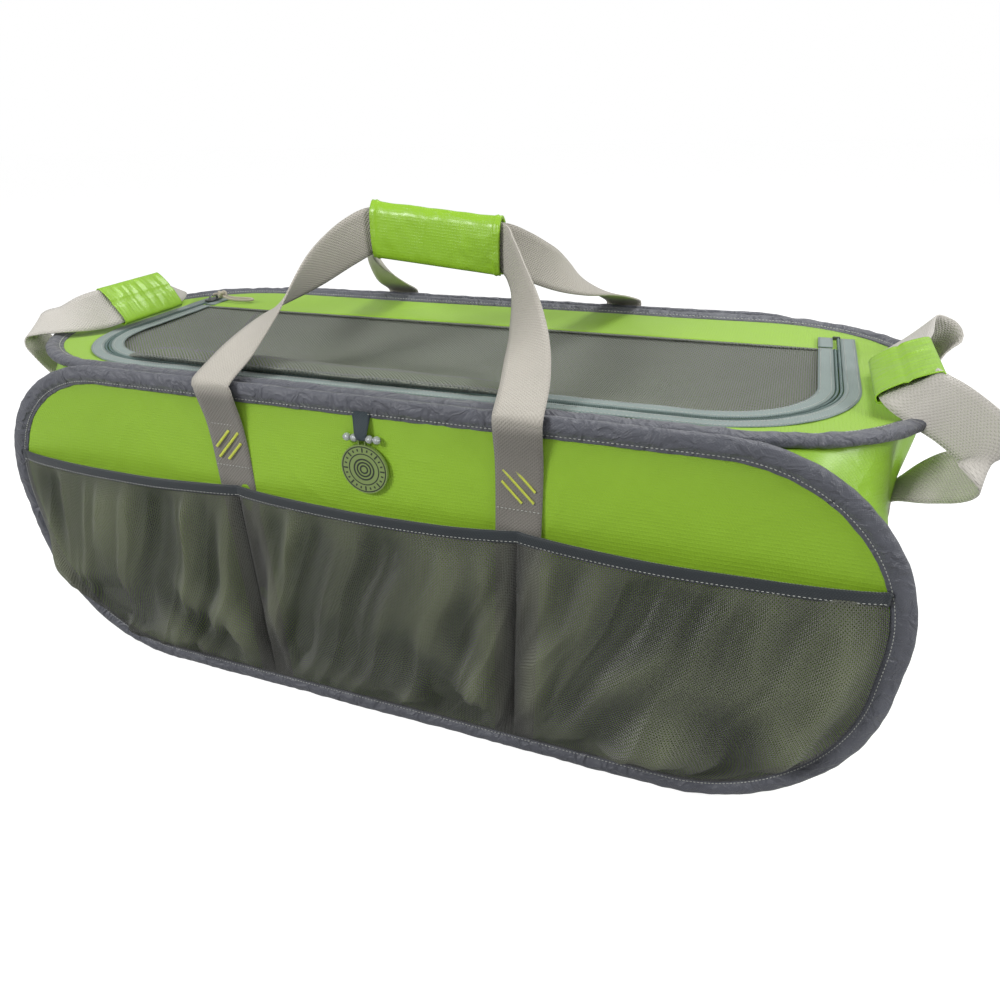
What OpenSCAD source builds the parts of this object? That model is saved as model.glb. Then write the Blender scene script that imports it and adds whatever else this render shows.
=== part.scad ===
// Rope storage bag held open by four spring-steel hoops.
// Frame: +X to the right end, -Y to the front, +Z up; the origin is the middle of the underside.

/* [Bag] */
// Length over the hoops
bag_l = 900; // [760:10:1100]
// Depth over the front and back bindings
bag_d = 386; // [370:2:470]
// Height of the front and back hoops
bag_h = 355; // [345:5:430]
// Outer corner radius of the front and back hoops
front_r = 160; // [120:5:170]
// Outer corner radius of the top and bottom hoops
top_r = 150; // [125:5:165]
// Thickness of the coated panels
sheet_t = 1.5; // [1:0.1:2]
// Inward draw at the middle of each end panel, as a share of its reach
end_draw = 0.18; // [0:0.02:0.3]

/* [Hoops] */
// Width of the binding, across its rolled face
binding_w = 18; // [16:1:22]
// Thickness of the binding
binding_t = 10; // [9:0.5:12]
// Radial thickness of the flat spring wire
wire_t = 1.5; // [1:0.1:2]
// Width of the flat spring wire
wire_w = 5; // [4:0.5:6]
// Length of the clip that joins the ends of a wire
clip_l = 32; // [24:1:44]
// Width of the sewn seam that joins two bindings
seam_t = 2; // [1.5:0.5:4]

/* [Straps] */
// Webbing width
web_w = 40; // [30:1:50]
// Webbing thickness
web_t = 2; // [1.5:0.1:2.5]
// Distance of each strap's middle from the middle of the bag
strap_x = 142; // [110:2:180]
// Height of the carry grip above the bag
grip_rise = 93; // [80:1:130]
// Length of the wrap round the carry grip
wrap_l = 130; // [100:2:160]
// Distance from the top of the bag to the middle of a strap's bar tacks
tack_drop = 60; // [50:1:72]

/* [Pockets] */
// Height of the pocket mouths above the ground
pocket_h = 254; // [205:1:262]
// Height of the edging tape along the mouths
edging_h = 11; // [8:1:16]
// How far a full pocket stands off the panel
pocket_depth = 27; // [18:1:40]
// Share of that depth left at the mouth
mouth_share = 0.5; // [0.35:0.05:0.7]

/* [Lid and zip] */
// Distance of the lid's hinge seam behind the middle of the bag
seam_y = 75; // [50:5:95]
// Distance from the end of the hoops to the coil line at the side
zip_end = 82; // [74:1:120]
// Gap between the front tape and the binding of the top hoop
zip_gap = 0.6; // [0.5:0.1:20]
// Corner radius of the zip
zip_r = 100; // [70:5:120]
// Width of one zip tape
tape_w = 13; // [10:0.5:14]
// Length of the slider body
slider_l = 24; // [18:1:30]
// Distance of the parked slider behind the hinge seam
slider_park = 25; // [18:1:26]

/* [End handles] */
// Half of the distance between the middles of a handle's two legs
end_leg_y = 95; // [85:1:105]
// Reach of the handle from its hinge to its inner edge
end_reach_in = 72; // [66:1:73]
// Length of the sleeve on the handle
sleeve_l = 96; // [70:2:110]
// Slope of the resting handle
end_slope = 10; // [6:1:20]

/* [Badge] */
// Diameter of the hanging tag
tag_d = 45; // [30:1:55]
// Distance of the tag to the right of the middle
badge_x = 2; // [-20:1:20]

/* [Hidden] */

$fn = 96;
half_l = bag_l / 2;
half_d = bag_d / 2;
over = 1;
thread_gap = 0.3;

// Hoops: front and back share one outline, top and bottom share the other.
front_corner = min(front_r, bag_h / 2 - binding_w);
top_d = bag_d - 2 * (binding_t + seam_t);
top_corner = min(top_r, top_d / 2 - binding_w);
wire_inset = binding_w / 2;
clip_wall = 1;
clip_fit = 0.05;
channel_room = 0.2;
channel_t = wire_t + 2 * (clip_wall + clip_fit + channel_room);
channel_w = wire_w + 2 * (clip_wall + clip_fit + channel_room);
channel_out = wire_inset - channel_t / 2;
channel_in = wire_inset + channel_t / 2;
slot_t = sheet_t + 0.1;
panel_inset = channel_in + 0.2;
wire_gap = 1;
top_z = bag_h - binding_t / 2;
panel_y = half_d - binding_t / 2;
panel_face = panel_y + sheet_t / 2;

// End panels: a soft surface that hangs between the four half rounds.
end_t = 2;
end_clear = 0.5;
end_cells = 14;
end_corner_x = half_l - max(front_corner, top_corner);
end_reach = half_l - wire_inset - end_corner_x;
end_half_y = half_d - binding_t - end_clear;
end_half_z = bag_h / 2 - binding_t - end_clear;

// Straps and carry handles.
strap_face = panel_face + web_t;
strap_low = binding_w + over;
riser_clear = 0.2;
riser_drop = 5;
riser_z = bag_h - binding_w - riser_drop;
riser_short = 3;
riser_top = bag_h - riser_short;
hinge_out = 4;
hinge_y = half_d + hinge_out;
hinge_z = bag_h + 0.5;
hinge_start = 3;
grip_y = -12.5;
grip_gap = 2.5;
grip_z = hinge_z + grip_rise;
grip_half = wrap_l / 2 + 4;
wrap_pad = 5;
wrap_clear = 0.3;
strip_t = 0.9;
tack_t = 0.8;
tack_w = 2.2;
tack_long = 30;
tack_short = 20;
tack_step = 8;
tack_stagger = 2;
tack_lean = 45;
tack_z = bag_h - tack_drop;

// Pockets: mesh that stands off the panel between the dividers.
mesh_t = 1;
pocket_back = strap_face + thread_gap;
pocket_cells = 14;
pocket_rows = 12;
pocket_low = binding_w + 0.5;
pocket_seam = 1;
belly = 0.35;
edging_t = 2;
mouth_cells = 12;

// Half of the grip's padded wrap: a channel round one layer of webbing.
wrap_h = web_w + 2 * (wrap_clear + wrap_pad);
wrap_deep = grip_gap + web_t / 2 + wrap_clear + wrap_pad;
lip_y = thread_gap / 2 + strip_t;
strip_end = 5;

// Lid and zip, drawn on a U that runs round the lid's free sides.
coil_gap = 0.8;
coil_w = 2.4;
coil_h = 2.4;
coil_drop = 0.4;
coil_z = top_z - coil_drop;
tape_step = 0.2;
tape_in = coil_gap + coil_w + tape_step;
tape_out = tape_in + tape_w;
tape_t = 1;
tape_lift = 0.1;
tape_z = top_z + sheet_t / 2 + tape_lift;
zip_x = half_l - zip_end;
zip_front = top_d / 2 - binding_w - tape_out - zip_gap;
cloth_back = 8;
seam_gap = 1.5;
lid_t = 1.2;
seam_tape_w = 16;
zip_tail = 38;
tail_gap = 3;
slot_over = 0.5;
stop_gap = 0.1;
stop_lift = 0.8;
stop_over = 1;
slider_w = 13;
slider_plate = 1.4;
slider_clear = 0.4;
slider_y = seam_y + slider_park;
slider_post = 0.8;
bar_r = 1.2;
bridge_h = 6;
bridge_half = 7;
bridge_w = 3;
bridge_leg = 2;
bar_z = coil_z + coil_h + slider_clear + bridge_h;
cord_r = 1.5;
cord_run = 46;
cord_spread = 2.4;
cord_gap = 0.1;
cord_lift = 5.2;
cord_z = top_z + cord_lift;
knot_r = 6.5;
knot_out = 15;
knot_lift = 3;
stop_l = 3;

// End handles.
end_hinge_x = half_l - 3;
end_hinge_z = bag_h + 1;
sleeve_t = 10;
sleeve_over = 4;
tab_reach = 80;
tab_low = bag_h - tab_reach;
tab_short = 4;
tab_top = bag_h - tab_short;
tab_in = 2.6;
tab_root = 30;

// Badge.
badge_hinge_z = bag_h - binding_w - 0.5;
badge_out = 1.8;
badge_y = -(panel_face + badge_out);
badge_web = 1.5;
badge_web_w = 16;
pin_r = 1.2;
pin_l = 36;
bead_r = 3.5;
pin_out = 2.2;
pin_y = badge_y - pin_out;
pin_drop = 17;
pin_z = badge_hinge_z - pin_drop;
fold_w = 5;
bead_gap = 0.2;
bead_waist = 0.55;
bead_flat = 0.35;
tag_t = 3;
lug_t = 0.8;
lug_r = 2.6;
lug_gap = 0.2;
lug_x = fold_w / 2 + lug_gap;
tag_hang = 2;
bore_room = 0.05;

lime = [0.56, 0.80, 0.10];
grey = [0.47, 0.47, 0.53];
mesh_grey = [0.42, 0.45, 0.36];
taupe = [0.62, 0.58, 0.53];
slate = [0.18, 0.23, 0.26];
teal = [0.42, 0.52, 0.50];
steel = [0.70, 0.71, 0.73];
thread = [0.74, 0.78, 0.22];
beige = [0.74, 0.71, 0.62];
clear = [0.86, 0.89, 0.86];
tag_green = [0.55, 0.68, 0.30];

// ---------- shared outlines ----------

// Rectangle with round corners, centred.
module rounded(l, w, r) {
    square([l - 2 * r, w], center = true);
    square([l, w - 2 * r], center = true);
    for (sx = [-1, 1], sy = [-1, 1])
        translate([sx * (l / 2 - r), sy * (w / 2 - r)]) circle(r);
}

// Band between two insets of a rounded rectangle.
module ring(l, w, r, outer, inner) {
    difference() {
        rounded(l - 2 * outer, w - 2 * outer, r - outer);
        rounded(l - 2 * inner, w - 2 * inner, r - inner);
    }
}

// Folded tape round a hoop: a channel for the wire and a slot for the panel's edge.
module binding(l, w, r, slot_z) {
    color(grey) difference() {
        linear_extrude(binding_t) ring(l, w, r, 0, binding_w);
        translate([0, 0, (binding_t - channel_w) / 2])
            linear_extrude(channel_w) ring(l, w, r, channel_out, channel_in);
        translate([0, 0, slot_z])
            linear_extrude(slot_t) ring(l, w, r, wire_inset, binding_w + over);
    }
}

// Flat spring wire, bent to a hoop, with its two ends a small gap apart.
module wire(l, w, r) {
    color(steel) difference() {
        translate([0, 0, (binding_t - wire_w) / 2])
            linear_extrude(wire_w) ring(l, w, r, wire_inset - wire_t / 2, wire_inset + wire_t / 2);
        translate([-wire_gap / 2, -w / 2, -over])
            cube([wire_gap, binding_w, binding_t + 2 * over]);
    }
}

// Clip over the wire's ends.
module clip(w) {
    color(steel) translate([0, -w / 2 + wire_inset, binding_t / 2]) difference() {
        cube([clip_l, wire_t + 2 * (clip_wall + clip_fit), wire_w + 2 * (clip_wall + clip_fit)],
             center = true);
        cube([clip_l + 2, wire_t + 2 * clip_fit, wire_w + 2 * clip_fit], center = true);
    }
}

// Stands a flat hoop up as the front hoop, with its outer face to the front.
module stand_front() {
    translate([0, -half_d + binding_t, bag_h / 2]) rotate([90, 0, 0]) children();
}

module stand_back() {
    mirror([0, 1, 0]) stand_front() children();
}

module lift_top() {
    translate([0, 0, bag_h - binding_t]) children();
}

// ---------- panels ----------

module wall_sheet() {
    color(lime) translate([0, 0, (binding_t - sheet_t) / 2]) linear_extrude(sheet_t)
        rounded(bag_l - 2 * panel_inset, bag_h - 2 * panel_inset, front_corner - panel_inset);
}

module front_panel() stand_front() wall_sheet();

module back_panel() stand_back() wall_sheet();

module bottom_panel() {
    color(lime) linear_extrude(sheet_t)
        rounded(bag_l - 2 * panel_inset, top_d - 2 * panel_inset, top_corner - panel_inset);
}

// Lid outline: straight back seam, free sides round the zip, grown outward from the coil line.
module lid_outline(grow, back) {
    w = zip_x + grow;
    f = zip_front + grow;
    r = zip_r + grow;
    translate([-w, -f + r]) square([2 * w, back + f - r]);
    translate([-(w - r), -f]) square([2 * (w - r), r + over]);
    for (s = [-1, 1]) translate([s * (w - r), -f + r]) circle(r);
}

module lid_band(from, to, back) {
    difference() {
        lid_outline(to, back);
        lid_outline(from, back + over);
    }
}

module top_panel() {
    color(lime) translate([0, 0, top_z - sheet_t / 2]) linear_extrude(sheet_t) difference() {
        rounded(bag_l - 2 * panel_inset, top_d - 2 * panel_inset, top_corner - panel_inset);
        lid_outline(cloth_back, seam_y + seam_gap);
        for (s = [-1, 1])
            translate([s * zip_x - cloth_back, seam_y])
                square([2 * cloth_back, zip_tail + stop_l + slot_over]);
    }
}

function spread(i, n) = sin(90 * (2 * i / n - 1));

function end_x(u, v) =
    end_corner_x + end_reach * sqrt(max(0, 1 - u * u * v * v))
    * (1 - end_draw * (1 - u * u) * (1 - v * v));

function end_point(i, j, back) =
    let (u = spread(i, end_cells), v = spread(j, end_cells))
    [end_x(u, v) - back, u * end_half_y, bag_h / 2 + v * end_half_z];

// Closed skin over a grid of n by m cells: front points first, then the points behind them.
function skin_faces(n, m) =
    let (w = n + 1, k = (n + 1) * (m + 1))
    concat(
        [for (j = [0:m - 1], i = [0:n - 1]) let (a = j * w + i) [a, a + w, a + w + 1]],
        [for (j = [0:m - 1], i = [0:n - 1]) let (a = j * w + i) [a, a + w + 1, a + 1]],
        [for (j = [0:m - 1], i = [0:n - 1]) let (a = k + j * w + i) [a, a + w + 1, a + w]],
        [for (j = [0:m - 1], i = [0:n - 1]) let (a = k + j * w + i) [a, a + 1, a + w + 1]],
        [for (i = [0:n - 1]) [i, i + 1, i + 1 + k]],
        [for (i = [0:n - 1]) [i, i + 1 + k, i + k]],
        [for (i = [0:n - 1]) let (a = m * w + i) [a, a + 1 + k, a + 1]],
        [for (i = [0:n - 1]) let (a = m * w + i) [a, a + k, a + 1 + k]],
        [for (j = [0:m - 1]) let (a = j * w) [a, a + w + k, a + w]],
        [for (j = [0:m - 1]) let (a = j * w) [a, a + k, a + w + k]],
        [for (j = [0:m - 1]) let (a = j * w + n) [a, a + w, a + w + k]],
        [for (j = [0:m - 1]) let (a = j * w + n) [a, a + w + k, a + k]]);

module end_panel() {
    points = concat(
        [for (j = [0:end_cells], i = [0:end_cells]) end_point(i, j, 0)],
        [for (j = [0:end_cells], i = [0:end_cells]) end_point(i, j, end_t)]);
    color(lime) polyhedron(points, skin_faces(end_cells, end_cells), convexity = 6);
}

module right_end_panel() end_panel();

module left_end_panel() mirror([1, 0, 0]) end_panel();

// ---------- hoops ----------

module front_hoop_binding()
    stand_front() binding(bag_l, bag_h, front_corner, (binding_t - slot_t) / 2);

module back_hoop_binding()
    stand_back() binding(bag_l, bag_h, front_corner, (binding_t - slot_t) / 2);

module top_hoop_binding()
    lift_top() binding(bag_l, top_d, top_corner, (binding_t - slot_t) / 2);

module bottom_hoop_binding() binding(bag_l, top_d, top_corner, 0);

module front_hoop_wire() stand_front() wire(bag_l, bag_h, front_corner);

module back_hoop_wire() stand_back() wire(bag_l, bag_h, front_corner);

module top_hoop_wire() lift_top() wire(bag_l, top_d, top_corner);

module bottom_hoop_wire() wire(bag_l, top_d, top_corner);

module hoop_clips() {
    stand_front() clip(bag_h);
    stand_back() clip(bag_h);
    lift_top() clip(top_d);
    clip(top_d);
}

// Seams that join the straight runs of neighbouring bindings.
module edge_seams() {
    run = 2 * (half_l - max(front_corner, top_corner));
    seam_h = 6;
    color(slate) for (sy = [-1, 1], z = [(binding_t - seam_h) / 2, bag_h - (binding_t + seam_h) / 2])
        translate([-run / 2, sy * (half_d - binding_t - seam_t / 2) - seam_t / 2, z])
            cube([run, seam_t, seam_h]);
}

// Thread bars at the eight places where two hoops part.
module corner_bar_tacks() {
    bar_l = 8;
    bar_h = 2;
    run = half_l - max(front_corner, top_corner) + bar_h;
    color(slate) for (sx = [-1, 1], sy = [-1, 1], z = [binding_t / 2, bag_h - binding_t / 2])
        translate([sx * (run + bar_l / 2), sy * (half_d - binding_t - seam_t / 2), z])
            cube([bar_l, seam_t, bar_h], center = true);
}

// ---------- pockets ----------

// Inner edge of the front binding at height z, from the middle of the bag.
function hoop_x(z) =
    let (r = front_corner - pocket_low, d = max(front_corner - z, z - bag_h + front_corner, 0))
    half_l - front_corner + sqrt(max(0, r * r - d * d));

function belly_share(t) =
    sin(90 * min(1, t / belly))
    * (1 - (1 - mouth_share) * pow(max(0, (t - belly) / (1 - belly)), 1.5));

function stand_off(s, t) = pocket_depth * pow(max(0, 1 - s * s), 0.8) * belly_share(t);

// Point of a pocket: s runs across from -1 to 1 and t up from 0 to 1.
function pocket_point(side, s, t, depth) =
    let (z = pocket_low + t * (pocket_h - edging_h - pocket_low),
         x0 = side == 0 ? -(strap_x - pocket_seam) : strap_x + pocket_seam,
         x1 = side == 0 ? strap_x - pocket_seam : hoop_x(z),
         x = x0 + (x1 - x0) * (s + 1) / 2)
    [x, -(pocket_back + depth + stand_off(s, t)), z];

module pocket(side) {
    n = pocket_cells;
    m = pocket_rows;
    points = concat(
        [for (j = [0:m], i = [0:n]) pocket_point(side, 2 * i / n - 1, j / m, 0)],
        [for (j = [0:m], i = [0:n]) pocket_point(side, 2 * i / n - 1, j / m, mesh_t)]);
    color(mesh_grey) polyhedron(points, skin_faces(n, m), convexity = 6);
}

module pocket_middle() pocket(0);

module pocket_right() pocket(1);

module pocket_left() mirror([1, 0, 0]) pocket(1);

// Edging tape: one band along the three mouths, following their stand-off.
function mouth_points(x0, x1, depth) =
    [for (i = [0:mouth_cells])
        let (s = 2 * i / mouth_cells - 1)
        [x0 + (x1 - x0) * (s + 1) / 2, -(pocket_back + depth + stand_off(s, 1))]];

module pocket_edging() {
    end = hoop_x(pocket_h) - 0.3;
    near = concat(mouth_points(-end, -strap_x, 0), mouth_points(-strap_x, strap_x, 0),
                  mouth_points(strap_x, end, 0));
    far = concat(mouth_points(-end, -strap_x, edging_t), mouth_points(-strap_x, strap_x, edging_t),
                 mouth_points(strap_x, end, edging_t));
    n = len(far);
    color(slate) translate([0, 0, pocket_h - edging_h + 0.2]) linear_extrude(edging_h - 0.2)
        polygon(concat(near, [for (i = [0:n - 1]) far[n - 1 - i]]));
}

// ---------- straps and carry handles ----------

// Webbing sewn down the panel, stepping out over the binding at the top.
module strap() {
    outer = half_d + riser_clear + web_t;
    color(taupe) translate([strap_x - web_w / 2, 0, 0]) {
        translate([0, -strap_face, strap_low]) cube([web_w, web_t, riser_z - strap_low]);
        translate([0, -outer, riser_z - web_t]) cube([web_w, outer - panel_face, web_t]);
        translate([0, -outer, riser_z - web_t]) cube([web_w, web_t, riser_top - riser_z + web_t]);
    }
}

module front_right_strap() strap();

module front_left_strap() mirror([1, 0, 0]) strap();

module back_right_strap() mirror([0, 1, 0]) strap();

module back_left_strap() mirror([1, 0, 0]) mirror([0, 1, 0]) strap();

// Three slanted bar tacks in the stitched box of each strap.
module tacks() {
    color(thread) for (k = [-1, 0, 1])
        translate([strap_x + k * tack_step, -strap_face - tack_t / 2, tack_z - k * tack_stagger])
            rotate([0, tack_lean, 0]) cube([k == 0 ? tack_long : tack_short, tack_t, tack_w], center = true);
}

module strap_bar_tacks() {
    for (sx = [0, 1], sy = [0, 1]) mirror([sx, 0, 0]) mirror([0, sy, 0]) tacks();
}

// Carry handle: two webbing legs that turn on edge where they reach the grip.
// reach is the distance from the hinge line to the grip, measured inward.
module handle(reach) {
    lean = atan2(grip_rise, reach);
    color(taupe) {
        for (s = [-1, 1]) hull() {
            translate([s * strap_x, hinge_start * cos(lean), hinge_start * sin(lean)])
                rotate([lean, 0, 0]) translate([-web_w / 2, 0, -web_t / 2]) cube([web_w, over, web_t]);
            translate([s * grip_half, reach, grip_rise]) cube([over, web_t, web_w], center = true);
        }
        translate([-grip_half, reach - web_t / 2, grip_rise - web_w / 2])
            cube([2 * grip_half, web_t, web_w]);
    }
}

module front_handle() translate([0, -hinge_y, hinge_z]) handle(hinge_y + grip_y - grip_gap);

module back_handle()
    translate([0, hinge_y, hinge_z]) mirror([0, 1, 0]) handle(hinge_y - grip_y - grip_gap);

// Half of the padded wrap: a channel round one layer of webbing, open towards the other half.
// It is drawn for the front handle, with y = 0 on the plane where the halves meet.
module wrap_half() {
    inner = web_w + 2 * wrap_clear;
    color(lime) difference() {
        translate([-wrap_l / 2, -wrap_deep, -wrap_h / 2]) cube([wrap_l, wrap_deep - lip_y, wrap_h]);
        translate([-wrap_l / 2 - over, -wrap_deep + wrap_pad, -inner / 2])
            cube([wrap_l + 2 * over, wrap_deep, inner]);
    }
}

module strip_pair() {
    color(slate) for (s = [-1, 1])
        translate([-wrap_l / 2 + strip_end, -lip_y, s * (wrap_h - wrap_pad) / 2 - wrap_pad / 2])
            cube([wrap_l - 2 * strip_end, strip_t, wrap_pad]);
}

module at_grip() translate([0, grip_y, grip_z]) children();

module wrap_front() at_grip() wrap_half();

module wrap_back() at_grip() mirror([0, 1, 0]) wrap_half();

module wrap_hook_strips() at_grip() strip_pair();

module wrap_loop_strips() at_grip() mirror([0, 1, 0]) strip_pair();

// ---------- lid and zip ----------

module lid_mesh() {
    color(mesh_grey) translate([0, 0, top_z - lid_t / 2]) linear_extrude(lid_t)
        lid_outline(-cloth_back, seam_y - seam_gap);
}

module lid_seam_tape() {
    color(grey) translate([-zip_x + tape_out + 1, seam_y - seam_gap - seam_tape_w, tape_z])
        cube([2 * (zip_x - tape_out - 1), seam_tape_w, tape_t]);
}

module zip_tape_lid() {
    color(teal) translate([0, 0, tape_z]) linear_extrude(tape_t)
        lid_band(-tape_out, -tape_in, seam_y - seam_gap);
}

module zip_coil_lid() {
    color(teal) translate([0, 0, coil_z]) linear_extrude(coil_h)
        lid_band(-coil_gap - coil_w, -coil_gap, seam_y - seam_gap);
}

// Tape sewn to the bag; past the hinge seam both tapes are sewn to the bag.
module zip_tape_body() {
    color(teal) translate([0, 0, tape_z]) linear_extrude(tape_t) {
        lid_band(tape_in, tape_out, seam_y + zip_tail);
        for (s = [-1, 1])
            translate([s * (zip_x - (tape_in + tape_out) / 2) - tape_w / 2, seam_y + tail_gap])
                square([tape_w, zip_tail - tail_gap]);
    }
}

module zip_coil_body() {
    color(teal) translate([0, 0, coil_z]) linear_extrude(coil_h) {
        lid_band(coil_gap, coil_gap + coil_w, seam_y + zip_tail);
        for (s = [-1, 1])
            translate([s * (zip_x - coil_gap - coil_w / 2) - coil_w / 2, seam_y + tail_gap])
                square([coil_w, zip_tail - tail_gap]);
    }
}

module zip_end_stops() {
    color(steel) for (s = [-1, 1])
        translate([s * zip_x, seam_y + zip_tail + stop_l / 2 + stop_gap, top_z + stop_lift])
            cube([2 * tape_in, stop_l, coil_h + stop_over], center = true);
}

// Slider: two plates joined by a thin post, with a raised bridge that carries a bar.
module zip_slider() {
    low = coil_z - slider_clear - slider_plate;
    high = coil_z + coil_h + slider_clear;
    color(steel) translate([-zip_x, slider_y, 0]) {
        translate([-slider_w / 2, -slider_l / 2, low]) cube([slider_w, slider_l, slider_plate]);
        translate([-slider_w / 2, -slider_l / 2, high]) cube([slider_w, slider_l, slider_plate]);
        translate([-slider_post / 2, -slider_l / 2, low])
            cube([slider_post, slider_l / 3, high - low + slider_plate]);
        for (s = [-1, 1])
            translate([-bridge_w / 2, s * bridge_half - bridge_leg / 2, high])
                cube([bridge_w, bridge_leg, bridge_h + slider_plate]);
        translate([0, -bridge_half, high + bridge_h]) rotate([-90, 0, 0])
            cylinder(r = bar_r, h = 2 * bridge_half, $fn = 32);
    }
}

// Cord of the pull: a neck from the slider's bar to the knot, and a loop beyond the knot.
module zip_pull_cord() {
    loop_x = -zip_x + knot_out;
    color(beige) {
        translate([-zip_x, slider_y, bar_z]) rotate([90, 0, 0])
            rotate_extrude($fn = 32) translate([bar_r + cord_gap + cord_r, 0]) circle(cord_r, $fn = 24);
        translate([-zip_x + bar_r + cord_r, slider_y, bar_z]) rotate([0, 90, 0])
            cylinder(r = cord_r, h = knot_out - knot_r - bar_r - cord_r - cord_gap, $fn = 24);
        translate([0, slider_y, cord_z]) {
            for (s = [-1, 1])
                translate([loop_x + knot_r + cord_gap, s * cord_spread, 0]) rotate([0, 90, 0])
                    cylinder(r = cord_r, h = cord_run - knot_r, $fn = 24);
            translate([loop_x + cord_run + cord_gap, 0, 0]) rotate([0, 0, -90]) rotate_extrude(angle = 180)
                translate([cord_spread, 0]) circle(cord_r, $fn = 24);
        }
    }
}

module zip_pull_knot() {
    color(beige) translate([-zip_x + knot_out, slider_y, top_z + knot_lift + knot_r])
        sphere(r = knot_r, $fn = 48);
}

// ---------- end handles ----------

// Right-hand handle, resting inward over the hoop; the left one is its mirror image.
module at_end_hinge() {
    translate([end_hinge_x, 0, end_hinge_z]) rotate([0, end_slope, 0]) mirror([1, 0, 0]) children();
}

module handle_webbing() {
    grip_in = end_reach_in - web_w;
    color(taupe) at_end_hinge() {
        for (s = [-1, 1])
            translate([hinge_start, s * end_leg_y - web_w / 2, -web_t / 2])
                cube([end_reach_in - hinge_start, web_w, web_t]);
        translate([grip_in, -end_leg_y, -web_t / 2]) cube([web_w, 2 * end_leg_y, web_t]);
    }
}

module handle_sleeve() {
    grip_in = end_reach_in - web_w;
    color(lime) at_end_hinge() difference() {
        translate([grip_in - sleeve_over, -sleeve_l / 2, -sleeve_t / 2])
            cube([web_w + 2 * sleeve_over, sleeve_l, sleeve_t]);
        translate([grip_in - thread_gap, -sleeve_l / 2 - over, -web_t / 2 - thread_gap])
            cube([web_w + 2 * thread_gap, sleeve_l + 2 * over, web_t + 2 * thread_gap]);
    }
}

// Webbing ends sewn to the end panel, rising free to the hinge beside the hoop.
module handle_tabs() {
    u = (end_leg_y - web_w / 2) / end_half_y;
    v = (tab_low - bag_h / 2) / end_half_z;
    low_x = end_x(u, v) + thread_gap;
    color(taupe) for (s = [-1, 1]) translate([0, s * end_leg_y, 0]) {
        hull() {
            translate([low_x, -web_w / 2, tab_low - web_t]) cube([web_t, web_w, web_t]);
            translate([end_hinge_x - tab_in, -web_w / 2, tab_top - tab_root]) cube([web_t, web_w, web_t]);
        }
        translate([end_hinge_x - tab_in, -web_w / 2, tab_top - tab_root])
            cube([web_t, web_w, tab_root]);
    }
}

module right_handle_webbing() handle_webbing();

module right_handle_sleeve() handle_sleeve();

module right_handle_tabs() handle_tabs();

module left_handle_webbing() mirror([1, 0, 0]) handle_webbing();

module left_handle_sleeve() mirror([1, 0, 0]) handle_sleeve();

module left_handle_tabs() mirror([1, 0, 0]) handle_tabs();

// ---------- badge ----------

module badge_loop() {
    fold_r = pin_r + bore_room + badge_web;
    drop = badge_hinge_z - pin_z;
    color(slate) translate([badge_x, 0, 0]) difference() {
        union() {
            translate([-badge_web_w / 2, badge_y, badge_hinge_z - drop / 2])
                cube([badge_web_w, badge_web, drop / 2 - 1]);
            translate([-fold_w / 2, badge_y, pin_z]) cube([fold_w, badge_web, drop / 2 + over]);
            translate([-fold_w / 2, pin_y, pin_z]) rotate([0, 90, 0])
                cylinder(r = fold_r, h = fold_w, $fn = 48);
        }
        translate([-fold_w, pin_y, pin_z]) rotate([0, 90, 0])
            cylinder(r = pin_r + bore_room, h = 2 * fold_w, $fn = 48);
    }
}

module badge_pin() {
    color(steel) translate([badge_x - pin_l / 2, pin_y, pin_z]) rotate([0, 90, 0])
        cylinder(r = pin_r, h = pin_l, $fn = 48);
}

// Two beads on each side of the fold and the tag's lugs.
module badge_beads() {
    bore = pin_r + bore_room;
    waist = bead_r * bead_waist;
    flat = bead_r * bead_flat;
    first = lug_x + lug_t + bead_gap + bead_r;
    color(clear) for (s = [-1, 1], k = [0, 1])
        translate([badge_x + s * (first + k * (2 * bead_r + bead_gap)), pin_y, pin_z])
            rotate([0, 90, 0]) rotate_extrude($fn = 48)
                polygon([[bore, -bead_r], [waist, -bead_r], [bead_r, -flat], [bead_r, flat],
                         [waist, bead_r], [bore, bead_r]]);
}

// Round tag with two thin lugs that hang on the pin.
module badge_tag() {
    tag_z = pin_z - bead_r - tag_hang - tag_d / 2;
    color(tag_green) translate([badge_x, 0, 0]) difference() {
        union() {
            translate([0, pin_y, tag_z]) rotate([90, 0, 0])
                cylinder(r = tag_d / 2, h = tag_t, center = true);
            for (s = [-1, 1]) translate([s * (lug_x + lug_t / 2), pin_y, 0]) {
                translate([-lug_t / 2, -lug_r / 2, tag_z + tag_d / 3])
                    cube([lug_t, lug_r, pin_z - tag_z - tag_d / 3]);
                translate([-lug_t / 2, 0, pin_z]) rotate([0, 90, 0])
                    cylinder(r = lug_r, h = lug_t, $fn = 48);
            }
        }
        translate([0, pin_y, pin_z]) rotate([0, 90, 0])
            cylinder(r = pin_r + bore_room, h = 4 * fold_w, center = true, $fn = 48);
    }
}

// ---------- nodes ----------

front_panel();
back_panel();
bottom_panel();
top_panel();
left_end_panel();
right_end_panel();
front_hoop_binding();
back_hoop_binding();
top_hoop_binding();
bottom_hoop_binding();
front_hoop_wire();
back_hoop_wire();
top_hoop_wire();
bottom_hoop_wire();
hoop_clips();
edge_seams();
corner_bar_tacks();
pocket_left();
pocket_middle();
pocket_right();
pocket_edging();
front_left_strap();
front_right_strap();
back_left_strap();
back_right_strap();
strap_bar_tacks();
front_handle();
back_handle();
wrap_front();
wrap_back();
wrap_hook_strips();
wrap_loop_strips();
lid_mesh();
lid_seam_tape();
zip_tape_lid();
zip_coil_lid();
zip_tape_body();
zip_coil_body();
zip_end_stops();
zip_slider();
zip_pull_cord();
zip_pull_knot();
left_handle_tabs();
left_handle_webbing();
left_handle_sleeve();
right_handle_tabs();
right_handle_webbing();
right_handle_sleeve();
badge_loop();
badge_pin();
badge_beads();
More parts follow.
